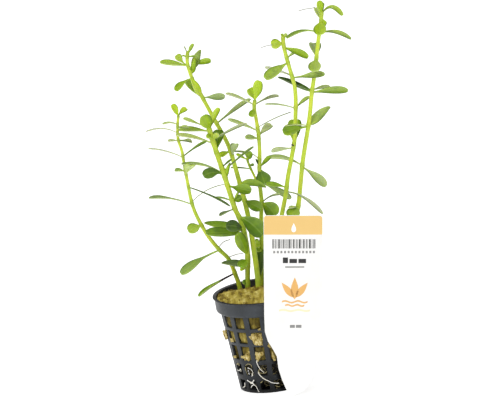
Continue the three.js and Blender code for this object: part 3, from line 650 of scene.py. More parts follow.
def stem_skin():
    """A succulent stem's skin: lime green, fresher toward the tip, with painted yellow highlights in
    patches, a waxy shine and a darker ring at each joint."""
    material, tree, shader = new_material("stem_skin")
    spot = node(tree, "TexCoord", out="Object")
    height = node(tree, "SeparateXYZ", {"Vector": spot}, "Z")
    young = node(tree, "MapRange", {"Value": height, "From Min": 45 * MM, "From Max": 190 * MM})
    streaks = node(tree, "TexNoise", {"Vector": spot, "Scale": 1 / (2.5 * MM), "Detail": 3})
    shade = node(tree, "Math", {0: streaks, 1: 0.5, 2: young}, operation="MULTIPLY_ADD")
    green = node(
        tree, "ValToRGB", {"Fac": shade},
        stops=[(0.15, "#8BA02C"), (0.5, "#AFC42E"), (0.95, "#C6D840")],
    )
    # Yellow patches here and there are painted highlights.
    patches = node(tree, "TexNoise", {"Vector": spot, "Scale": 1 / (9 * MM), "Detail": 2})
    highlight_patch = node(
        tree, "MapRange", {"Value": patches, "From Min": 0.5, "From Max": 0.72, "To Max": 0.45},
    )
    highlighted = node(tree, "Mix", {0: highlight_patch, 6: green, 7: "#DCDA3A"}, 2, data_type="RGBA")
    joint = node(tree, "Attribute", out="Fac", attribute_name="joint")
    wire(shader, {
        "Base Color": node(tree, "Mix", {0: joint, 6: highlighted, 7: "#6E8E2A"}, 2, data_type="RGBA"),
        "Normal": node(tree, "Bump", {"Height": streaks, "Strength": 0.5, "Distance": 0.12 * MM}),
        "Roughness": 0.34, "IOR": 1.42, "Subsurface Weight": 0.25,
        "Subsurface Radius": (0.6, 1, 0.3), "Subsurface Scale": 1.0 * MM,
    })
    return material


def leaf_blade():
    """A fleshy leaf's skin: from fresh lime on young leaves to deep green on old ones, paler below,
    partly by a painted sheen, and along the midrib, painted lighter on one half and darker on the
    other, with a waxy shine and faint veins."""
    material, tree, shader = new_material("leaf_blade")
    tone, along, across, under, pale, withered = (
        node(tree, "Attribute", out="Fac", attribute_name=name)
        for name in ("tone", "along", "across", "under", "pale", "withered")
    )
    spot = node(tree, "TexCoord", out="Object")
    blotch = node(tree, "TexNoise", {"Vector": spot, "Scale": 1 / (3.5 * MM), "Detail": 3})
    # Blotches move the tone by up to a fifth either way, one half of the blade is painted a little
    # darker than the other as the shade of its fold, and its foot is fresher.
    drift = node(tree, "MapRange", {"Value": blotch, "To Min": -0.2, "To Max": 0.2})
    aged = node(tree, "Math", {0: tone, 1: drift}, operation="ADD")
    half_shaded = node(tree, "Math", {0: across, 1: -0.07, 2: aged}, operation="MULTIPLY_ADD")
    foot = node(tree, "MapRange", {"Value": along, "From Max": 0.35, "To Min": 0.3, "To Max": 0})
    fresh = node(tree, "Math", {0: half_shaded, 1: foot}, operation="ADD")
    green = node(
        tree, "ValToRGB", {"Fac": fresh},
        stops=[
            (0.0, "#2E4A14"), (0.3, "#5C8019"), (0.5, "#83A61D"), (0.65, "#A2C021"), (0.8, "#B2CE27"),
            (1.0, "#C6DC30"),
        ],
    )
    # The midrib is a thin paler line down the middle.
    side = node(tree, "Math", {0: across}, operation="ABSOLUTE")
    rib = node(
        tree, "MapRange",
        {"Value": side, "From Min": 0.02, "From Max": 0.14, "To Min": 0.2, "To Max": 0},
    )
    ribbed = node(tree, "Mix", {0: rib, 6: green, 7: "#B4CC6A"}, 2, data_type="RGBA")
    # The underside and a pale leaf are paler, partly their own colour and partly a painted sheen; one
    # half is a little paler still, painted light, while the other's margin is darker, painted shade.
    chalk_and_sheen = node(tree, "Math", {0: under, 1: 0.4, 2: pale}, operation="MULTIPLY_ADD")
    chalk_sheen_and_lit_half = node(
        tree, "Math", {0: across, 1: -0.1, 2: chalk_and_sheen}, operation="MULTIPLY_ADD", use_clamp=True,
    )
    backed = node(tree, "Mix", {0: chalk_sheen_and_lit_half, 6: ribbed, 7: "#C2C9A4"}, 2, data_type="RGBA")
    # The darker margin of the shaded half is painted shade.
    rim = node(tree, "MapRange", {"Value": across, "From Min": 0.6, "To Max": 0.65})
    with_shaded_margin = node(tree, "Mix", {0: rim, 6: backed, 7: "#41591C"}, 2, data_type="RGBA")
    veins = node(tree, "CombineXYZ", {0: across, 1: along})
    fine = node(tree, "TexNoise", {"Vector": veins, "Scale": 9, "Detail": 3})
    wire(shader, {
        "Base Color": node(tree, "Mix", {0: withered, 6: with_shaded_margin, 7: DEAD}, 2, data_type="RGBA"),
        "Normal": node(tree, "Bump", {"Height": fine, "Strength": 0.5, "Distance": 0.25 * MM}),
        "Roughness": node(tree, "MapRange", {"Value": blotch, "To Min": 0.26, "To Max": 0.42}),
        "IOR": 1.42, "Specular IOR Level": 0.35, "Subsurface Weight": 0.3,
        "Subsurface Radius": (0.8, 1, 0.1), "Subsurface Scale": 0.7 * MM,
    })
    return material


# The pot.


def net_radius(z):
    return FOOT_RADIUS + (NET_TOP_RADIUS - FOOT_RADIUS) * z / COLLAR_FOOT


def build_pot():
    """The outer skin is spun, its windows are cut out, and the wall is thickened inward."""
    levels = [0]
    for top, bottom in reversed(WINDOW_ROWS):
        levels += [POT_HEIGHT - bottom, POT_HEIGHT - top]
    profile = [(0, 0, 0)] + [(net_radius(z), 0, z) for z in levels]
    profile += [(NET_TOP_RADIUS, 0, COLLAR_FOOT), (23.6, 0, 40.9), (24.2, 0, 41.3)]
    profile += [(COLLAR_FOOT_RADIUS, 0, 42), (24.7, 0, 47.5), (25.2, 0, 47.7), (25.5, 0, 48.1)]
    profile += [(RIM_RADIUS, 0, POT_HEIGHT)]
    slices = WINDOW_COLUMNS * SLICES_PER_COLUMN
    half_window = 360 / slices * SLICES_PER_WINDOW / 2
    edge = math.radians(FIRST_WINDOW - half_window)
    turned = [(radius * math.cos(edge), radius * math.sin(edge), z) for radius, _, z in profile]
    pot = draw_line("pot_net", turned)
    spin_round(pot, slices)

    def in_window(face):
        height = face.center.z / MM
        if not any(POT_HEIGHT - bottom < height < POT_HEIGHT - top for top, bottom in WINDOW_ROWS):
            return False
        if abs(face.normal.z) > 0.7:
            return False
        turn = math.degrees(math.atan2(face.center.y, face.center.x)) - FIRST_WINDOW
        off = (turn + WINDOW_PITCH / 2) % WINDOW_PITCH - WINDOW_PITCH / 2
        return abs(off) < half_window

    pick(pot, "FACE", in_window)
    bpy.ops.mesh.delete(type="FACE")
    leave()
    apply_modifier(pot, "SOLIDIFY", thickness=WALL * MM, offset=-1, use_even_offset=True)
    apply_modifier(
        pot, "BEVEL", width=0.16 * MM, segments=2, limit_method="ANGLE", angle_limit=math.radians(40),
    )
    smooth(pot)
    pot.data.materials.append(moulded_polypropylene())
    pot.data.materials.append(shaded_polypropylene())
    # Faces that look inward, and the lip, take the darker copy of the plastic: painted shade.
    for face in pot.data.polygons:
        out = face.center.x * face.normal.x + face.center.y * face.normal.y
        inside = out < -0.3 * math.hypot(face.center.x, face.center.y)
        lip = face.center.z > (POT_HEIGHT - 0.25) * MM
        face.material_index = int(inside or lip)
    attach(pot, "root")
    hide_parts("net_pot")


# The wool and the roots.

WOOL_FOOT = 15


def cone_fit(z):
    return net_radius(z) - WALL - 0.25


def roughen(piece, name, size, height, middle=0.5, depth=2):
    """Pushes a piece into lumps of a size and height in millimetres."""
    cloud = bpy.data.textures.new(name, "CLOUDS")
    cloud.noise_scale = size * MM
    cloud.noise_depth = depth
    apply_modifier(
        piece, "DISPLACE", texture=cloud, strength=height * MM, mid_level=middle,
        texture_coords="LOCAL",
    )


def build_wool():
    """A spun plug over its root ball, pushed into lumps and out through the upper windows."""
    edge = 23.5
    profile = [(0, 0, 1.6), (6, 0, 1.6), (11.4, 0, 1.6), (12, 0, 6), (12.2, 0, 10), (12.4, 0, 14)]
    profile += [(cone_fit(16), 0, WOOL_FOOT + 0.5)]
    profile += [(cone_fit(z), 0, z) for z in (17.5, 20, 22.5, 25, 27.5, 30, 32.5, 35, 37.5, 40)]
    profile += [(edge - 1.6, 0, 41.5), (edge - 0.2, 0, 43.2), (edge, 0, 44.8), (edge + 0.3, 0, 46.8)]
    profile += [(edge * r, 0, z) for r, z in (
        (0.985, 47.6), (0.94, 48.1), (0.86, 48.4), (0.75, 48.7), (0.6, 49.1), (0.45, 49.5), (0.3, 49.8),
        (0.15, 49.9), (0, 49.9),
    )]
    wool = draw_line("wool_plug", profile)
    spin_round(wool, 96)
    for vertex in wool.data.vertices:
        vertex.co.z -= top_fall(vertex.co / MM) * MM
    apply_modifier(wool, "SUBSURF", levels=1, render_levels=1)
    wool.data.materials.append(mineral_wool())
    wool.data.materials.append(packed_roots())
    for face in wool.data.polygons:
        face.material_index = int(face.center.z < WOOL_FOOT * MM)
    bulge_windows(wool)
    roughen(wool, "wool_lumps", 4.2, 1.4, 0.58, 1)
    roughen(wool, "wool_clumps", 1.8, 0.35, 0.58, 1)
    roughen(wool, "wool_fuzz", 0.7, 0.1, 0.58)
    smooth(wool, 60)
    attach(wool, "root")
    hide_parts("mineral_wool")
    return wool


def top_fall(spot):
    """How far the plug's top is lowered at a place: it slopes away at the back and right."""
    if spot.z < 44.5:
        return 0
    return 0.3 * min(17, max(0, spot.y - 4)) * min(1, max(0, (spot.x + 22) / 14))


# How far the wool bulges out of the windows of the upper three rows and how deep its painted shade is
# there, by column and row, with the columns counted round from the one at the front left.
WINDOW_WOOL = {
    (0, 0): (0.1, 0.72), (0, 1): (0.5, 0.4), (0, 2): (0, 0.9), (1, 0): (0.2, 0.8),
    (1, 1): (0.4, 0.4), (1, 2): (0.2, 0.7), (-1, 0): (0, 0.9), (-1, 1): (0.2, 0.85),
    (-1, 2): (0.1, 0.6), (-2, 0): (0, 0.95), (-2, 1): (-0.4, 0.9), (-2, 2): (-1.6, 0.95),
    (-3, 0): (-3.2, 0.9), (-3, 1): (0.2, 0.6), (-3, 2): (-1, 0.9), (-4, 0): (-3.2, 0.9),
    (-4, 1): (-0.5, 0.8),
}


def bulge_windows(wool):
    """Presses the wool out through the windows it fills, more in some than in others."""
    dice = random.Random(7)
    filled = {
        (c, r): (dice.uniform(0.1, 0.9), dice.uniform(0.2, 0.9))
        for c in range(WINDOW_COLUMNS) for r in range(3)
    }
    filled.update({(c % WINDOW_COLUMNS, r): values for (c, r), values in WINDOW_WOOL.items()})
    pitch = math.radians(WINDOW_PITCH)
    half_window = math.radians(7.6)
    window_shade = []
    for vertex in wool.data.vertices:
        x, y, z = vertex.co / MM
        radius = math.hypot(x, y)
        # The ball of roots, the collar's part and the plug's inside stay as they are.
        if z < WOOL_FOOT or z > 42 or radius < 14:
            window_shade.append(0)
            continue
        turn = math.radians(math.degrees(math.atan2(y, x)) - FIRST_WINDOW)
        column = round(turn / pitch) % WINDOW_COLUMNS
        off = (turn + pitch / 2) % pitch - pitch / 2
        # How deep the wool's painted shade is: full where no upper window is near, else that window's
        # value.
        in_shade = 1
        for row, (top, bottom) in enumerate(WINDOW_ROWS[:3]):
            rise = abs(z - POT_HEIGHT + (top + bottom) / 2) / (bottom - top) * 2
            swing = abs(off) / half_window
            if rise < 1.15:
                in_shade = filled[(column, row)][1]
            if rise < 1 and swing < 1:
                share = math.cos(rise * math.pi / 2) ** 0.4 * math.cos(swing * math.pi / 2) ** 0.4
                grow = 1 + (WALL + 0.2 + filled[(column, row)][0]) * share / radius
                vertex.co.x *= grow
                vertex.co.y *= grow
        window_shade.append(in_shade)
    set_values(wool, "window_shade", window_shade)


# Wads of dry wool that hang out of windows at the front: how far each stands out, then the
# outline round it as [right, up].
WADS = [
    (0.9, [
        (-7.2, -22.8), (-5.9, -22.4), (-5.6, -21.7), (-0.9, -21.6), (-0.6, -23.4), (0, -27),
        (-0.1, -27.6), (-2.5, -27.7), (-4.2, -27.4), (-4.7, -26.6), (-5.3, -25), (-6.6, -23.9),
    ]),
    (0.8, [
        (-4, -30.9), (-0.4, -30.6), (0.5, -31.4), (-0.2, -32.6), (-1.5, -33.7), (-2.7, -35.6),
        (-3.2, -35.2), (-3.7, -33),
    ]),
    (0.6, [
        (-8.6, -31.6), (-6.9, -30), (-6.6, -31.9), (-6.5, -35.2), (-8.4, -35.4), (-10.1, -34.3),
        (-11.2, -33), (-9.8, -32.8),
    ]),
    (0.5, [(2.3, -26), (3.4, -26.5), (3.8, -28.6), (2.8, -28.3)]),
    (0.5, [(4.2, -29.9), (5.2, -30.9), (6.4, -35.3), (5.4, -35.6), (4.4, -32.4)]),
    (0.7, [(-20.3, -20.2), (-18.4, -19.8), (-17.4, -24.4), (-18.8, -24.8), (-19.8, -22.4)]),
    (0.4, [(-3.2, -19.9), (-1.2, -18.5), (-1, -20)]),
    (0.3, [(-16.4, -24), (-15, -23.8), (-14.6, -25.8), (-16, -25.9)]),
    (0.3, [(-14.8, -32.8), (-13.2, -33), (-13.2, -34.1), (-14.6, -34)]),
]


def rim_distance(outline, centre, turn):
    """How far an outline lies from its centre in one direction."""
    out = Vector((math.cos(turn), math.sin(turn)))
    reach = 0
    for here, there in zip(outline, outline[1:] + outline[:1]):
        start, side = here - centre, there - here
        slant = out.cross(side)
        if abs(slant) > 1e-6 and 0 <= start.cross(out) / slant <= 1:
            reach = max(reach, start.cross(side) / slant)
    return reach


def build_wad(number, wad, material):
    """One wad: a ball pressed flat over its outline on the net's wall and roughened."""
    proud, outline = wad
    outline = [Vector(spot) for spot in outline]
    centre = sum(outline, Vector((0, 0))) / len(outline)
    clear()
    bpy.ops.mesh.primitive_ico_sphere_add(subdivisions=5, radius=1, location=(0, 0, 0))
    piece = name_piece(f"wad_{number}")
    for vertex in piece.data.vertices:
        a, b, c = vertex.co
        turn = math.atan2(b, a)
        reach = rim_distance(outline, centre, turn) * math.hypot(a, b) ** 0.8
        reach *= 1 + 0.05 * math.sin(7 * turn + number) + 0.05 * math.sin(17 * turn)
        spot = centre + Vector((math.cos(turn), math.sin(turn))) * reach
        vertex.co = on_wall(*spot, -0.3 + c * (proud + 0.3)) * MM
    roughen(piece, f"wad_{number}", 1.8, 0.9)
    roughen(piece, f"tuft_{number}", 0.7, 0.7)
    smooth(piece, 60)
    piece.data.materials.append(material)
    return piece


# The most tufts that may stand on the wool's top and out of its windows.
TOP_TUFTS = 120
WINDOW_TUFTS = 60


def build_tufts(wool):
    """Loose fibres over the wool's top and out of its windows, from one clump copied about."""
    dice = random.Random(21)
    strands = []
    for number in range(10):
        side = number * 0.16 - 0.75
        reach = dice.uniform(1.6, 3.4)
        rise = dice.uniform(0.1, 0.9)
        drift = dice.uniform(-0.5, 0.5)
        knots = [
            (side + drift * t * t, reach * (t - 0.5), rise * math.sin(math.pi * t) - 0.15)
            for t in (0, 0.25, 0.5, 0.75, 1)
        ]
        strands.append(tube(f"strand_{number}", knots, [0.07, 0.09, 0.09, 0.07, 0.04], 0))
    clump = join(strands, "clump")
    seats = []
    for face in wool.data.polygons:
        centre = face.center / MM
        top = centre.z > 46 - top_fall(Vector((centre.x, centre.y, 50))) and face.normal.z > 0.4
        proud = math.hypot(centre.x, centre.y) > net_radius(centre.z) + 0.7
        window = proud and WOOL_FOOT < centre.z < 40
        if top or window:
            seats.append((centre, face.normal.copy(), window))
    # The faces are numbered differently in each run, so their seats are first put in order by
    # place, along strips a millimetre wide.
    seats.sort(key=lambda seat: (round(seat[0].x), seat[0].y))
    dice.shuffle(seats)
    copies = [clump]
    top_seats = [seat for seat in seats if not seat[2]][:TOP_TUFTS]
    window_seats = [seat for seat in seats if seat[2]][:WINDOW_TUFTS]
    for centre, normal, window in top_seats + window_seats:
        work_on(clump)
        bpy.ops.object.duplicate()
        copy = bpy.context.object
        # The strands run up and down, or front to back where the wool lies flat.
        run = Vector((dice.uniform(-0.35, 0.35), 0.4, 1))
        run = (run - normal * run.dot(normal)).normalized()
        tilt = Matrix((run.cross(normal), run, normal)).transposed().to_4x4()
        size = dice.uniform(0.7, 1.2) * (0.6 if window else 1)
        copy.matrix_world = Matrix.Translation(centre * MM) @ tilt @ Matrix.Scale(size, 4)
        bpy.ops.object.transform_apply(location=True, rotation=True, scale=True)
        copies.append(copy)
    bpy.data.objects.remove(copies.pop(0))
    fibre = rock_fibre()
    for copy in copies:
        copy.data.materials.append(fibre)
    dry = dry_wool()
    copies += [build_wad(number, wad, dry) for number, wad in enumerate(WADS)]
    tufts = join(copies, "wool_tufts")
    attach(tufts, "root")


def on_wall(right, up, off):
    """The point of the pot's front wall that shows at a place on the sheet, a little off it."""
    spot = RIM_CENTRE + RIGHT * right + UP * up
    reach = 0
    for _ in range(30):
        point = spot + TOWARD * reach
        reach += (net_radius(point.z) + off - math.hypot(point.x, point.y)) * 0.6
        # Past the pot's side the line of sight stops level with its axis.
        reach = max(reach, -spot.y / TOWARD.y)
    return spot + TOWARD * reach


def smooth_path(points, per_span=6):
    """A Catmull-Rom line through the points."""
    ends = [points[0] * 2 - points[1], *points, points[-1] * 2 - points[-2]]
    line = []
    for a, b, c, d in zip(ends, ends[1:], ends[2:], ends[3:]):
        for i in range(per_span):
            t = i / per_span
            line.append(
                (b * 2 + (c - a) * t + (a * 2 - b * 5 + c * 4 - d) * t * t
                 + (b * 3 - a - c * 3 + d) * t ** 3) / 2
            )
    return [*line, points[-1]]


# Loose roots over the front of the net: whether young, radius, then the way as [right, up, how far
# off the wall].
HANGING_ROOTS = [
    (True, 0.22, [
        (-2.9, -35, 0.7), (-3.2, -35.6, 0.7), (-3, -36.3, 0.6), (-2.4, -37.7, 0.7),
        (-1.6, -39.1, 0.6), (-0.5, -40.2, 0.5), (0.5, -41, 0.3),
    ]),
    (True, 0.24, [
        (-2.4, -40.4, -0.6), (-2.2, -41.3, 0.2), (-1.8, -42.1, 0.6), (-0.9, -43.1, 0.7),
        (0.7, -44.3, 0.7), (2.5, -45.2, 0.7), (4.1, -46, 0.6), (6, -46.4, 0.5), (8, -46.4, 0.3),
    ]),
    (False, 0.2, [
        (-1.9, -39.5, -0.4), (-2.1, -40.8, -0.2), (-0.4, -41.5, -0.2), (1.2, -41.2, -0.2),
        (1.9, -40.5, -0.4),
    ]),
    (False, 0.15, [(-0.3, -38, -0.8), (0.6, -39.1, -0.4), (1.3, -39.9, -0.6)]),
    (False, 0.15, [(-1.2, -38.3, -0.9), (-0.2, -39.8, -0.6), (0.9, -40.8, -0.8)]),
    (False, 0.15, [(-1.2, -46.3, 0.1), (-0.6, -45.8, 0.3), (-0.1, -45.2, 0.2)]),
    (True, 0.26, [(-7.8, -45, 0.2), (-6.6, -45.8, 0.6), (-5.4, -46.2, 0.7), (-4.7, -47, 0.6)]),
    (True, 0.18, [(-4.7, -47, 0.6), (-3.4, -48.1, 0.7), (-2.7, -49.5, 0.6), (-2, -50.8, 0.4)]),
    (True, 0.24, [(-4.5, -44.8, 0.2), (-5, -45.6, 0.6), (-5.5, -46.6, 0.5), (-6.5, -46.2, 0.3)]),
    (True, 0.2, [(-4.6, -47.3, 0.5), (-5.6, -47.9, 0.4), (-6, -48.8, 0)]),
    (True, 0.17, [(-7.6, -38.7, 0.3), (-5.9, -39.6, 0.5), (-5.1, -41.1, 0.5), (-5.3, -42.4, 0.2)]),
    (False, 0.18, [(-8.9, -38.5, 0), (-8.5, -40.2, 0), (-7.6, -42.4, -0.2)]),
    (False, 0.2, [(-8.7, -37.6, -0.3), (-7.5, -36.8, 0), (-6.1, -37.3, 0), (-5.5, -38.6, -0.3)]),
    (True, 0.26, [(-5.6, -41.6, 0.2), (-5.2, -42.4, 0.1), (-5.8, -43, -0.3)]),
    (False, 0.35, [(-13, -37, -0.3), (-12.2, -36.6, 0), (-11.9, -37.6, -0.3)]),
    (True, 0.22, [(-12.8, -39.8, -0.1), (-11.9, -40.2, 0.2), (-11.2, -39.3, 0.2), (-11, -40.6, 0)]),
    (True, 0.22, [(-9.1, -46.3, 0), (-9, -47.6, 0.3), (-9.3, -48.3, 0.3), (-10.1, -48.6, 0)]),
    (False, 0.14, [(6, -47.5, -0.2), (7.2, -48.1, 0.2), (8.6, -48, 0)]),
    (False, 0.3, [(6.6, -49, -0.6), (7.6, -49.5, -0.4), (8.6, -48.9, -0.6)]),
]


def build_roots():
    young = white_roots()
    old = old_roots()
    strands = []
    for number, (fresh, radius, route) in enumerate(HANGING_ROOTS):
        line = smooth_path([on_wall(*spot) for spot in route])
        taper = [radius * (1 - 0.25 * i / len(line)) for i in range(len(line))]
        strand = tube(f"root_{number}", line, taper)
        strand.data.materials.append(young if fresh else old)
        strands.append(strand)
    dice = random.Random(11)
    for number in range(70):
        turn = dice.uniform(0, 2 * math.pi)
        height = dice.uniform(2.5, 15)
        knots = []
        for _ in range(5):
            radius = dice.uniform(12.7, 14.6)
            knots.append(Vector((radius * math.cos(turn), radius * math.sin(turn), height)))
            turn += dice.uniform(0.05, 0.3) * dice.choice((-1, 1, 1))
            height = min(15.2, max(2.2, height + dice.uniform(-3.5, 2.5)))
        line = smooth_path(knots, 4)
        strand = tube(f"inner_root_{number}", line, [0.13] * len(line))
        strand.data.materials.append(old)
        strands.append(strand)
    roots = join(strands, "loose_roots")
    smooth(roots, 60)
    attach(roots, "root")


# The plant.


def leaf_template():
    """One flat spoon of a leaf, 1 by 1 in plan, hollowed down its midrib, with its thickness."""
    clear()
    bpy.ops.mesh.primitive_grid_add(
        x_subdivisions=LEAF_FILES, y_subdivisions=LEAF_ROWS, size=1, location=(0, 0.5, 0),
    )
    leaf = name_piece("leaf_template")
    bpy.ops.object.transform_apply(location=True)
    for row, share in enumerate(LEAF_OUTLINE):
        level = row / LEAF_ROWS
        pick(leaf, "VERT", lambda vertex: abs(vertex.co.y - level) < 0.01)
        bpy.ops.transform.resize(value=(share, 1, 1))
        leave()
    pick(leaf, "VERT", lambda vertex: vertex.co.y > 0.99)
    bpy.ops.transform.translate(value=(0, -0.03, 0))
    leave()
    pick(leaf, "VERT", lambda vertex: abs(vertex.co.x) < 0.01 and 0.15 < vertex.co.y < 0.97)
    bpy.ops.transform.translate(value=(0, 0, -0.22))
    leave()
    pick_all(leaf)
    bpy.ops.mesh.extrude_region_move(TRANSFORM_OT_translate={"value": (0, 0, -LEAF_THICKNESS)})
    leave()
    # Heights are millimetres already, while the plan is stretched to each leaf's own size.
    set_values(
        leaf, "under", [float(vertex.co.z < -LEAF_THICKNESS * 0.7) for vertex in leaf.data.vertices],
    )
    return leaf


def bezier(base, bend, tip, t):
    """A point of the leaf's bent axis, and its direction there."""
    point = base * (1 - t) ** 2 + bend * 2 * t * (1 - t) + tip * t * t
    return point, ((bend - base) * (1 - t) + (tip - bend) * t).normalized()


def blade_normal(axis, facing):
    """The way a blade's upper side looks: edge-on at 0, toward the viewer at 90."""
    front = (TOWARD - axis * TOWARD.dot(axis)).normalized()
    edge = axis.cross(front)
    if edge.dot(UP) < 0:
        edge.negate()
    return edge * math.cos(math.radians(facing)) + front * math.sin(math.radians(facing))


def lay_leaf(template, name, base, row, dice):
    """A copy of the template laid along one leaf's bent axis, a little wavy."""
    _, tip, width, facing, arch, tone, *rest = row
    pale, rise, stalk = (*rest, *(0, 0, 0.2)[len(rest):])
    work_on(template)
    bpy.ops.object.duplicate()
    leaf = name_piece(name)
    end = place(tip)
    length = (end - base).length
    axis = (end - base).normalized()
    normal = blade_normal(axis, facing)
    bend = base.lerp(end, 0.4) + normal * 2 * arch + UP * 2 * rise
    # Broad leaves end bluntly and slender ones in a point.
    blunt = min(1.25, max(0.65, 1.5 - 2.4 * width / length))
    cup = dice.uniform(0.02, 0.2)
    fold = dice.uniform(0.12, 0.45)
    wave = [dice.uniform(-0.05, 0.05) for _ in range(3)]
    phase = dice.uniform(0, 6)
    along, across = [], []
    for vertex in leaf.data.vertices:
        x, y, z = vertex.co
        t = y / 0.2 * stalk if y < 0.2 else stalk + (y - 0.2) / 0.8 * (1 - stalk)
        row_half = outline_half(y)
        share = x * 2 / max(row_half, 0.05)
        if stalk < 0.1:
            # A blade without a stalk is widest in its middle and ends in a point.
            t, lens = y, max(0.12, math.sin(math.pi * min(y, 0.96) ** 0.85) ** 0.75)
            x *= lens / row_half
        elif y > 0.75:
            x *= row_half ** (blunt - 1)
        centre, heading = bezier(base, bend, end, t)
        # Even a thread of a stalk is half a millimetre across.
        if abs(x) > 0.01:
            x *= max(1, 0.25 * abs(share) / abs(x * width))
        side = heading.cross(normal).normalized()
        over = side.cross(heading).normalized()
        half = width / 2
        lift = cup * half * (share * row_half) ** 2 + fold * half * abs(share) * row_half
        lift += wave[0] * half * math.sin(phase + 7 * t) * share * row_half
        skew = wave[1] * width * math.sin(math.pi * t)
        thick = z * min(1, 0.35 + width / 5)
        vertex.co = (centre + side * (x * width + skew) + over * (thick + lift)) * MM
        along.append(t)
        across.append(share)
    set_values(leaf, "along", along)
    set_values(leaf, "across", across)
    set_values(leaf, "tone", [tone] * len(along))
    set_values(leaf, "pale", [max(0, pale)] * len(along))
    # A pale below nought marks a leaf whose stalk has withered.
    set_values(leaf, "withered", [float(pale < 0 and t < stalk) for t in along])
    apply_modifier(leaf, "SUBSURF", levels=1, render_levels=1)
    pick_all(leaf)
    bpy.ops.mesh.normals_make_consistent(inside=False)
    leave()
    smooth(leaf, 60)
    return leaf


def outline_half(t):
    """The outline's share of the widest at a place along the leaf."""
    spot = min(max(t, 0), 1) * LEAF_ROWS
    low = min(int(spot), LEAF_ROWS - 1)
    return LEAF_OUTLINE[low] + (LEAF_OUTLINE[low + 1] - LEAF_OUTLINE[low]) * (spot - low)


def centripetal(points, step):
    """A centripetal Catmull-Rom line through the points, with knots about a step apart."""
    ends = [points[0] * 2 - points[1], *points, points[-1] * 2 - points[-2]]
    line = []
    for a, b, c, d in zip(ends, ends[1:], ends[2:], ends[3:]):
        t0 = 0
        t1 = t0 + (b - a).length ** 0.5
        t2 = t1 + (c - b).length ** 0.5
        t3 = t2 + (d - c).length ** 0.5
        count = max(2, round((c - b).length / step))
        for i in range(count):
            t = t1 + (t2 - t1) * i / count
            a1 = a.lerp(b, (t - t0) / (t1 - t0))
            a2 = b.lerp(c, (t - t1) / (t2 - t1))
            a3 = c.lerp(d, (t - t2) / (t3 - t2))
            b1 = a1.lerp(a2, (t - t0) / (t2 - t0))
            b2 = a2.lerp(a3, (t - t1) / (t3 - t1))
            line.append(b1.lerp(b2, (t - t1) / (t2 - t1)))
    return [*line, points[-1]]


def at_height(line, up):
    """The point of a line where it has risen to a height on the sheet."""
    for here, there in zip(line, line[1:]):
        low, high = (here - RIM_CENTRE).dot(UP), (there - RIM_CENTRE).dot(UP)
        if high >= up:
            return here.lerp(there, min(1, max(0, (up - low) / (high - low or 1))))
    return line[-1]


def build_stalk(name, line, radii, joints):
    """A tapering stalk, swollen at its joints and rounded at its tip."""
    lengths = [0]
    for here, there in zip(line, line[1:]):
        lengths.append(lengths[-1] + (there - here).length)
    widths = []
    for point, length in zip(line, lengths):
        radius = radii[0] + (radii[1] - radii[0]) * length / lengths[-1]
        near = min(((point - joint).length for joint in joints), default=9)
        left = lengths[-1] - length
        radius *= 1 + 0.16 * math.exp(-(near / 0.9) ** 2)
        if left < radii[1]:
            radius *= max(0.15, math.sqrt(1 - (1 - left / radii[1]) ** 2))
        widths.append(radius)
    stalk = tube(name, line, widths)
    near = []
    for vertex in stalk.data.vertices:
        spot = vertex.co / MM
        rings = (math.exp(-((spot - joint).length / 1.15) ** 2) for joint in joints)
        near.append(max(rings, default=0))
    set_values(stalk, "joint", near)
    smooth(stalk, 60)
    return stalk


# Dead threads that cling to the stems, as [right, up, back].
THREADS = [
    [(-22.3, 21.4, 5), (-19.6, 24.2, 4), (-16.3, 25.4, 4)],
    [(-17.5, 16.4, 5.8), (-13, 18, 5), (-10, 18.3, 4)],
    [(4.4, 122.3, -5), (1.6, 121.8, -5), (-1, 120.9, -5)],
    [(25.9, 141.1, 2), (23.8, 140.5, 2), (20.6, 140.1, 2), (17.5, 139.2, 2)],
]


# A withered scar at a joint, nearly black: [right, up, back].
WITHERED = [[(14.3, 72.9, 0.15), (14.9, 72.4, -0.35), (15.2, 72.1, -0.4)]]


def build_threads():
    """Dried threads of alga and old leaf, and the scar: matt, and one colour each."""
    pale = one_colour("dead_thread", "#B9BAB2", 0.8)
    dark = one_colour("withered_stalk", DEAD, 0.8)
    threads = []
    for number, route in enumerate(THREADS + WITHERED):
        line = smooth_path([place(spot) for spot in route])
        withered = number >= len(THREADS)
        thread = tube(f"thread_{number}", line, [0.36 if withered else 0.26] * len(line))
        thread.data.materials.append(dark if withered else pale)
        threads.append(thread)
    whole = join(threads, "dead_threads")
    smooth(whole, 60)
    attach(whole, "root")


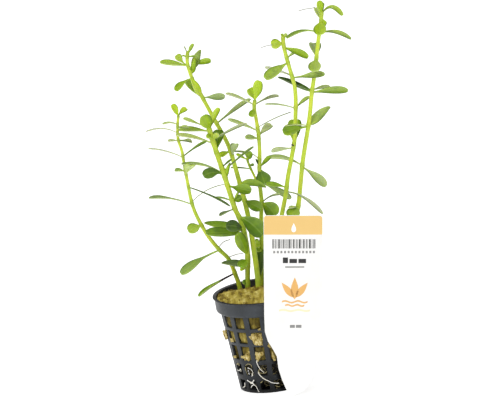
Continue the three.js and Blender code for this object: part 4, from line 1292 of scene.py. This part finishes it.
def build_plant():
    skin = stem_skin()
    blade = leaf_blade()
    template = leaf_template()
    dice = random.Random(5)
    for side, stem in STEMS.items():
        foot = stem["path"][0]
        root = (foot[0] * 0.94, foot[1] - SOCKET_DEPTH, foot[2])
        line = centripetal([place(spot) for spot in (root, *stem["path"])], 1)
        rows = stem["leaves"] + stem["leaflets"]
        joints = [at_height(line, row[0]) for row in rows]
        stalks = [build_stalk(f"stalk_{side}", line, stem["radii"], joints)]
        leaflets = [
            lay_leaf(template, f"leaflet_{side}", at_height(line, row[0]), row, dice)
            for row in stem["leaflets"]
        ]
        if "shoot" in stem:
            shoot = centripetal([place(spot) for spot in stem["shoot"]], 1)
            spots = [at_height(shoot, row[0]) for row in stem["shoot_leaves"]]
            radius = stem["shoot_radius"]
            stalks.append(build_stalk(f"shoot_{side}", shoot, (radius, radius), spots))
            leaflets += [
                lay_leaf(template, f"leaflet_{side}", spot, row, dice)
                for spot, row in zip(spots, stem["shoot_leaves"])
            ]
        for stalk in stalks:
            stalk.data.materials.append(skin)
        for leaflet in leaflets:
            leaflet.data.materials.append(blade)
        whole = join(stalks + leaflets, f"sprig_{side}")
        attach(whole, "root")
        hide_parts(f"stem_{side}")
        for number, row in enumerate(stem["leaves"], 1):
            leaf = lay_leaf(template, f"blade_{side}_{number}", at_height(line, row[0]), row, dice)
            leaf.data.materials.append(blade)
            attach(leaf, "root")
            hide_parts(f"leaf_{side}_{number}")
    bpy.data.objects.remove(template)


# The tag.

# The centres of its two round corners and the angles that they start from.
TAG_CORNERS = [
    ((TAG_RIGHT - TAG_CORNER, TAG_TOP - TAG_CORNER), 0),
    ((TAG_LEFT + TAG_CORNER, TAG_TOP - TAG_CORNER), 90),
]


def tag_frame():
    """Turns [right, up, proud] on the tag's back face into the pot's frame, in metres."""
    origin = place((0, 0, TAG_BACK))
    across = (place((1, 0, TAG_BACK)) - origin).normalized()
    upward = place((0, 1, TAG_BACK + TAG_LEAN)) - origin
    out = across.cross(upward).normalized()
    matrix = Matrix((across, upward, out)).transposed().to_4x4()
    matrix.translation = origin
    return Matrix.Scale(MM, 4) @ matrix


def fill_outline(name, points):
    """A flat face from its outline in millimetres, drawn point by point."""
    face = draw_line(name, [(*point, 0) for point in points])
    pick_all(face)
    bpy.ops.mesh.edge_face_add()
    leave()
    return face


def corner(centre, start, radius=TAG_CORNER, steps=5):
    """A quarter circle of the tag's corner, from an angle on."""
    turns = [math.radians(start + 90 * i / steps) for i in range(steps + 1)]
    return [
        (centre[0] + radius * math.cos(turn), centre[1] + radius * math.sin(turn)) for turn in turns
    ]


def thicken(piece, thickness):
    pick_all(piece)
    bpy.ops.mesh.extrude_region_move(TRANSFORM_OT_translate={"value": (0, 0, thickness * MM)})
    bpy.ops.mesh.select_all(action="SELECT")
    bpy.ops.mesh.normals_make_consistent(inside=False)
    leave()


def stand_up(piece, proud=0):
    """Moves a piece drawn flat onto the tag's plane, so far off its back face."""
    work_on(piece)
    piece.matrix_world = tag_frame() @ Matrix.Translation((0, 0, proud)) @ Matrix.Scale(1 / MM, 4)
    bpy.ops.object.transform_apply(location=True, rotation=True, scale=True)


def build_tag():
    outline = [*TAG_FOOT]
    for centre, start in TAG_CORNERS:
        outline += corner(centre, start)
    plate = fill_outline("tag_plate", outline)
    thicken(plate, TAG_THICKNESS)
    apply_modifier(
        plate, "BEVEL", width=0.12 * MM, segments=2, limit_method="ANGLE", angle_limit=math.radians(50),
    )
    smooth(plate)
    stand_up(plate)
    plate.data.materials.append(label_sheet())
    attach(plate, "root")
    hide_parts("name_tag")


def bar(left, right, low, high):
    return [(left, low), (right, low), (right, high), (left, high)]


def band_outline():
    """The band across the tag's top, a little inside its edge."""
    inset = 0.25
    low = 27.9
    outline = [(TAG_LEFT + inset, low), (TAG_RIGHT - inset, low)]
    for centre, start in TAG_CORNERS:
        outline += corner(centre, start, TAG_CORNER - inset)
    return outline


def drop_outline(centre, height):
    """A water drop, point up."""
    points = []
    for i in range(20):
        turn = 2 * math.pi * i / 20
        pinch = math.sin(turn / 2) ** 1.5
        across = 0.36 * height * math.sin(turn) * pinch
        points.append((centre[0] + across, centre[1] + height / 2 * math.cos(turn)))
    return points


def sprig_outline(foot, tip, width):
    """A pointed leaf from its foot to its tip."""
    along = Vector(tip) - Vector(foot)
    side = Vector((-along.y, along.x)).normalized() * width / 2
    points = []
    for way, steps in ((1, range(9)), (-1, range(7, 0, -1))):
        for t in (i / 8 for i in steps):
            points.append(Vector(foot) + along * t + side * way * math.sin(math.pi * t ** 0.8))
    return [tuple(point) for point in points]


def wave_outline(left, right, middle, swing, thick):
    """A wavy line of an even thickness."""
    top, low = [], []
    for i in range(17):
        x = left + (right - left) * i / 16
        y = middle + swing * math.sin(4 * math.pi * i / 16)
        top.append((x, y + thick / 2))
        low.append((x, y - thick / 2))
    return low + top[::-1]


def build_print():
    """The tag's print: a band with a drop, plain bars, and a sprig over water."""
    # Screen ink is a touch duller than the sheet.
    inks = {
        name: one_colour(f"{name}_ink", code, 0.45) for name, code in (
            ("apricot", "#EAC47A"), ("amber", "#E8B468"), ("black", "#2C2C2C"),
            ("grey", "#8E8E8C"), ("white", "#FFFFFF"), ("straw", "#FBEBC0"),
        )
    }
    shapes = [("apricot", band_outline(), 0), ("white", drop_outline((15.2, 31.4), 4.6), 1)]
    # A fence of even bars, as wide as its place, that stands for no number.
    for number in range(30):
        left = 4.6 + number * 0.73
        wide = (0.52, 0.24, 0.38, 0.24, 0.6, 0.3, 0.24)[number % 7]
        shapes.append(("black", bar(left, left + wide, 21, 25.6), 0))
    for number in range(12):
        left = 5 + number * 1.8
        shapes.append(("grey", bar(left, left + 1.0, 18.6, 19.8), 0))
    shapes += [
        ("black", bar(9.8, 12.4, 13.7, 16.5), 0),
        ("black", bar(13.1, 16.9, 13.7, 15.8), 0),
        ("black", bar(17.6, 21.4, 13.7, 15.8), 0),
        ("grey", bar(11, 20.5, 11.4, 12.1), 0),
        ("straw", wave_outline(8, 23.4, -9.9, 0.3, 0.9), 0),
        ("grey", bar(13.4, 15.9, -18.6, -17.1), 0),
        ("grey", bar(16.4, 19.2, -18.6, -17.1), 0),
        ("amber", sprig_outline((15.7, -4.4), (15.8, 6.6), 3.8), 0),
        ("amber", sprig_outline((15.2, -3.4), (9.2, 4.0), 3.2), 0),
        ("amber", sprig_outline((16.3, -3.4), (22.3, 4.0), 3.2), 0),
        ("amber", wave_outline(9.4, 22.2, -5.6, 0.45, 0.8), 0),
        ("amber", wave_outline(11, 20.6, -7.4, 0.35, 0.8), 0),
    ]
    films = []
    for number, (ink, outline, layer) in enumerate(shapes):
        film = fill_outline(f"film_{number}", outline)
        thicken(film, FILM_THICKNESS)
        stand_up(film, TAG_THICKNESS + layer * FILM_THICKNESS)
        film.data.materials.append(inks[ink])
        films.append(film)
    whole = join(films, "tag_print")
    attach(whole, "root")


# The studio.


def build_studio():
    clear()
    bpy.ops.mesh.primitive_plane_add(size=30, location=(0, 0, 0))
    floor = name_piece("studio_floor")
    material, _, shader = new_material("backlit_acrylic")
    wire(shader, {
        "Base Color": "#F7F7F7", "Roughness": 0.9, "Emission Color": "#FFFFFF",
        "Emission Strength": 0.55,
    })
    floor.data.materials.append(material)
    world = bpy.data.worlds.new("studio")
    bpy.context.scene.world = world
    world.use_nodes = True
    wire(world.node_tree.nodes["Background"], {"Color": "#FFFFFF", "Strength": 0.32})
    for name, spot, size, power in (
        ("key", (-0.9, -1.3, 1.5), 0.8, 21), ("fill", (1.3, -0.9, 0.8), 1.2, 5),
        ("back", (0.3, 1.4, 1.3), 1.0, 11),
    ):
        light = bpy.data.lights.new(name, "AREA")
        light.energy = power
        light.size = size
        lamp = bpy.data.objects.new(name, light)
        bpy.context.collection.objects.link(lamp)
        lamp.location = spot
        lamp.rotation_euler = (Vector(spot) - Vector((0, 0, 0.09))).to_track_quat("Z", "Y").to_euler()
    bpy.context.scene.view_settings.view_transform = "Standard"


def build_camera():
    """A long lens, square to the sheet that the plant is laid out on."""
    camera = bpy.data.cameras.new("camera")
    camera.sensor_width = 36
    camera.lens = LENS
    camera.clip_start = 0.1
    camera.clip_end = 100
    eye = bpy.data.objects.new("camera", camera)
    bpy.context.collection.objects.link(eye)
    aim = RIM_CENTRE + RIGHT * AIM[0] + UP * AIM[1]
    matrix = Matrix((RIGHT, UP, TOWARD)).transposed().to_4x4()
    matrix.translation = (aim + TOWARD * CAMERA_DISTANCE) * MM
    eye.matrix_world = matrix
    bpy.context.scene.camera = eye


build_camera()
build_studio()
build_pot()
build_tufts(build_wool())
build_roots()
build_plant()
build_threads()
build_tag()
build_print()
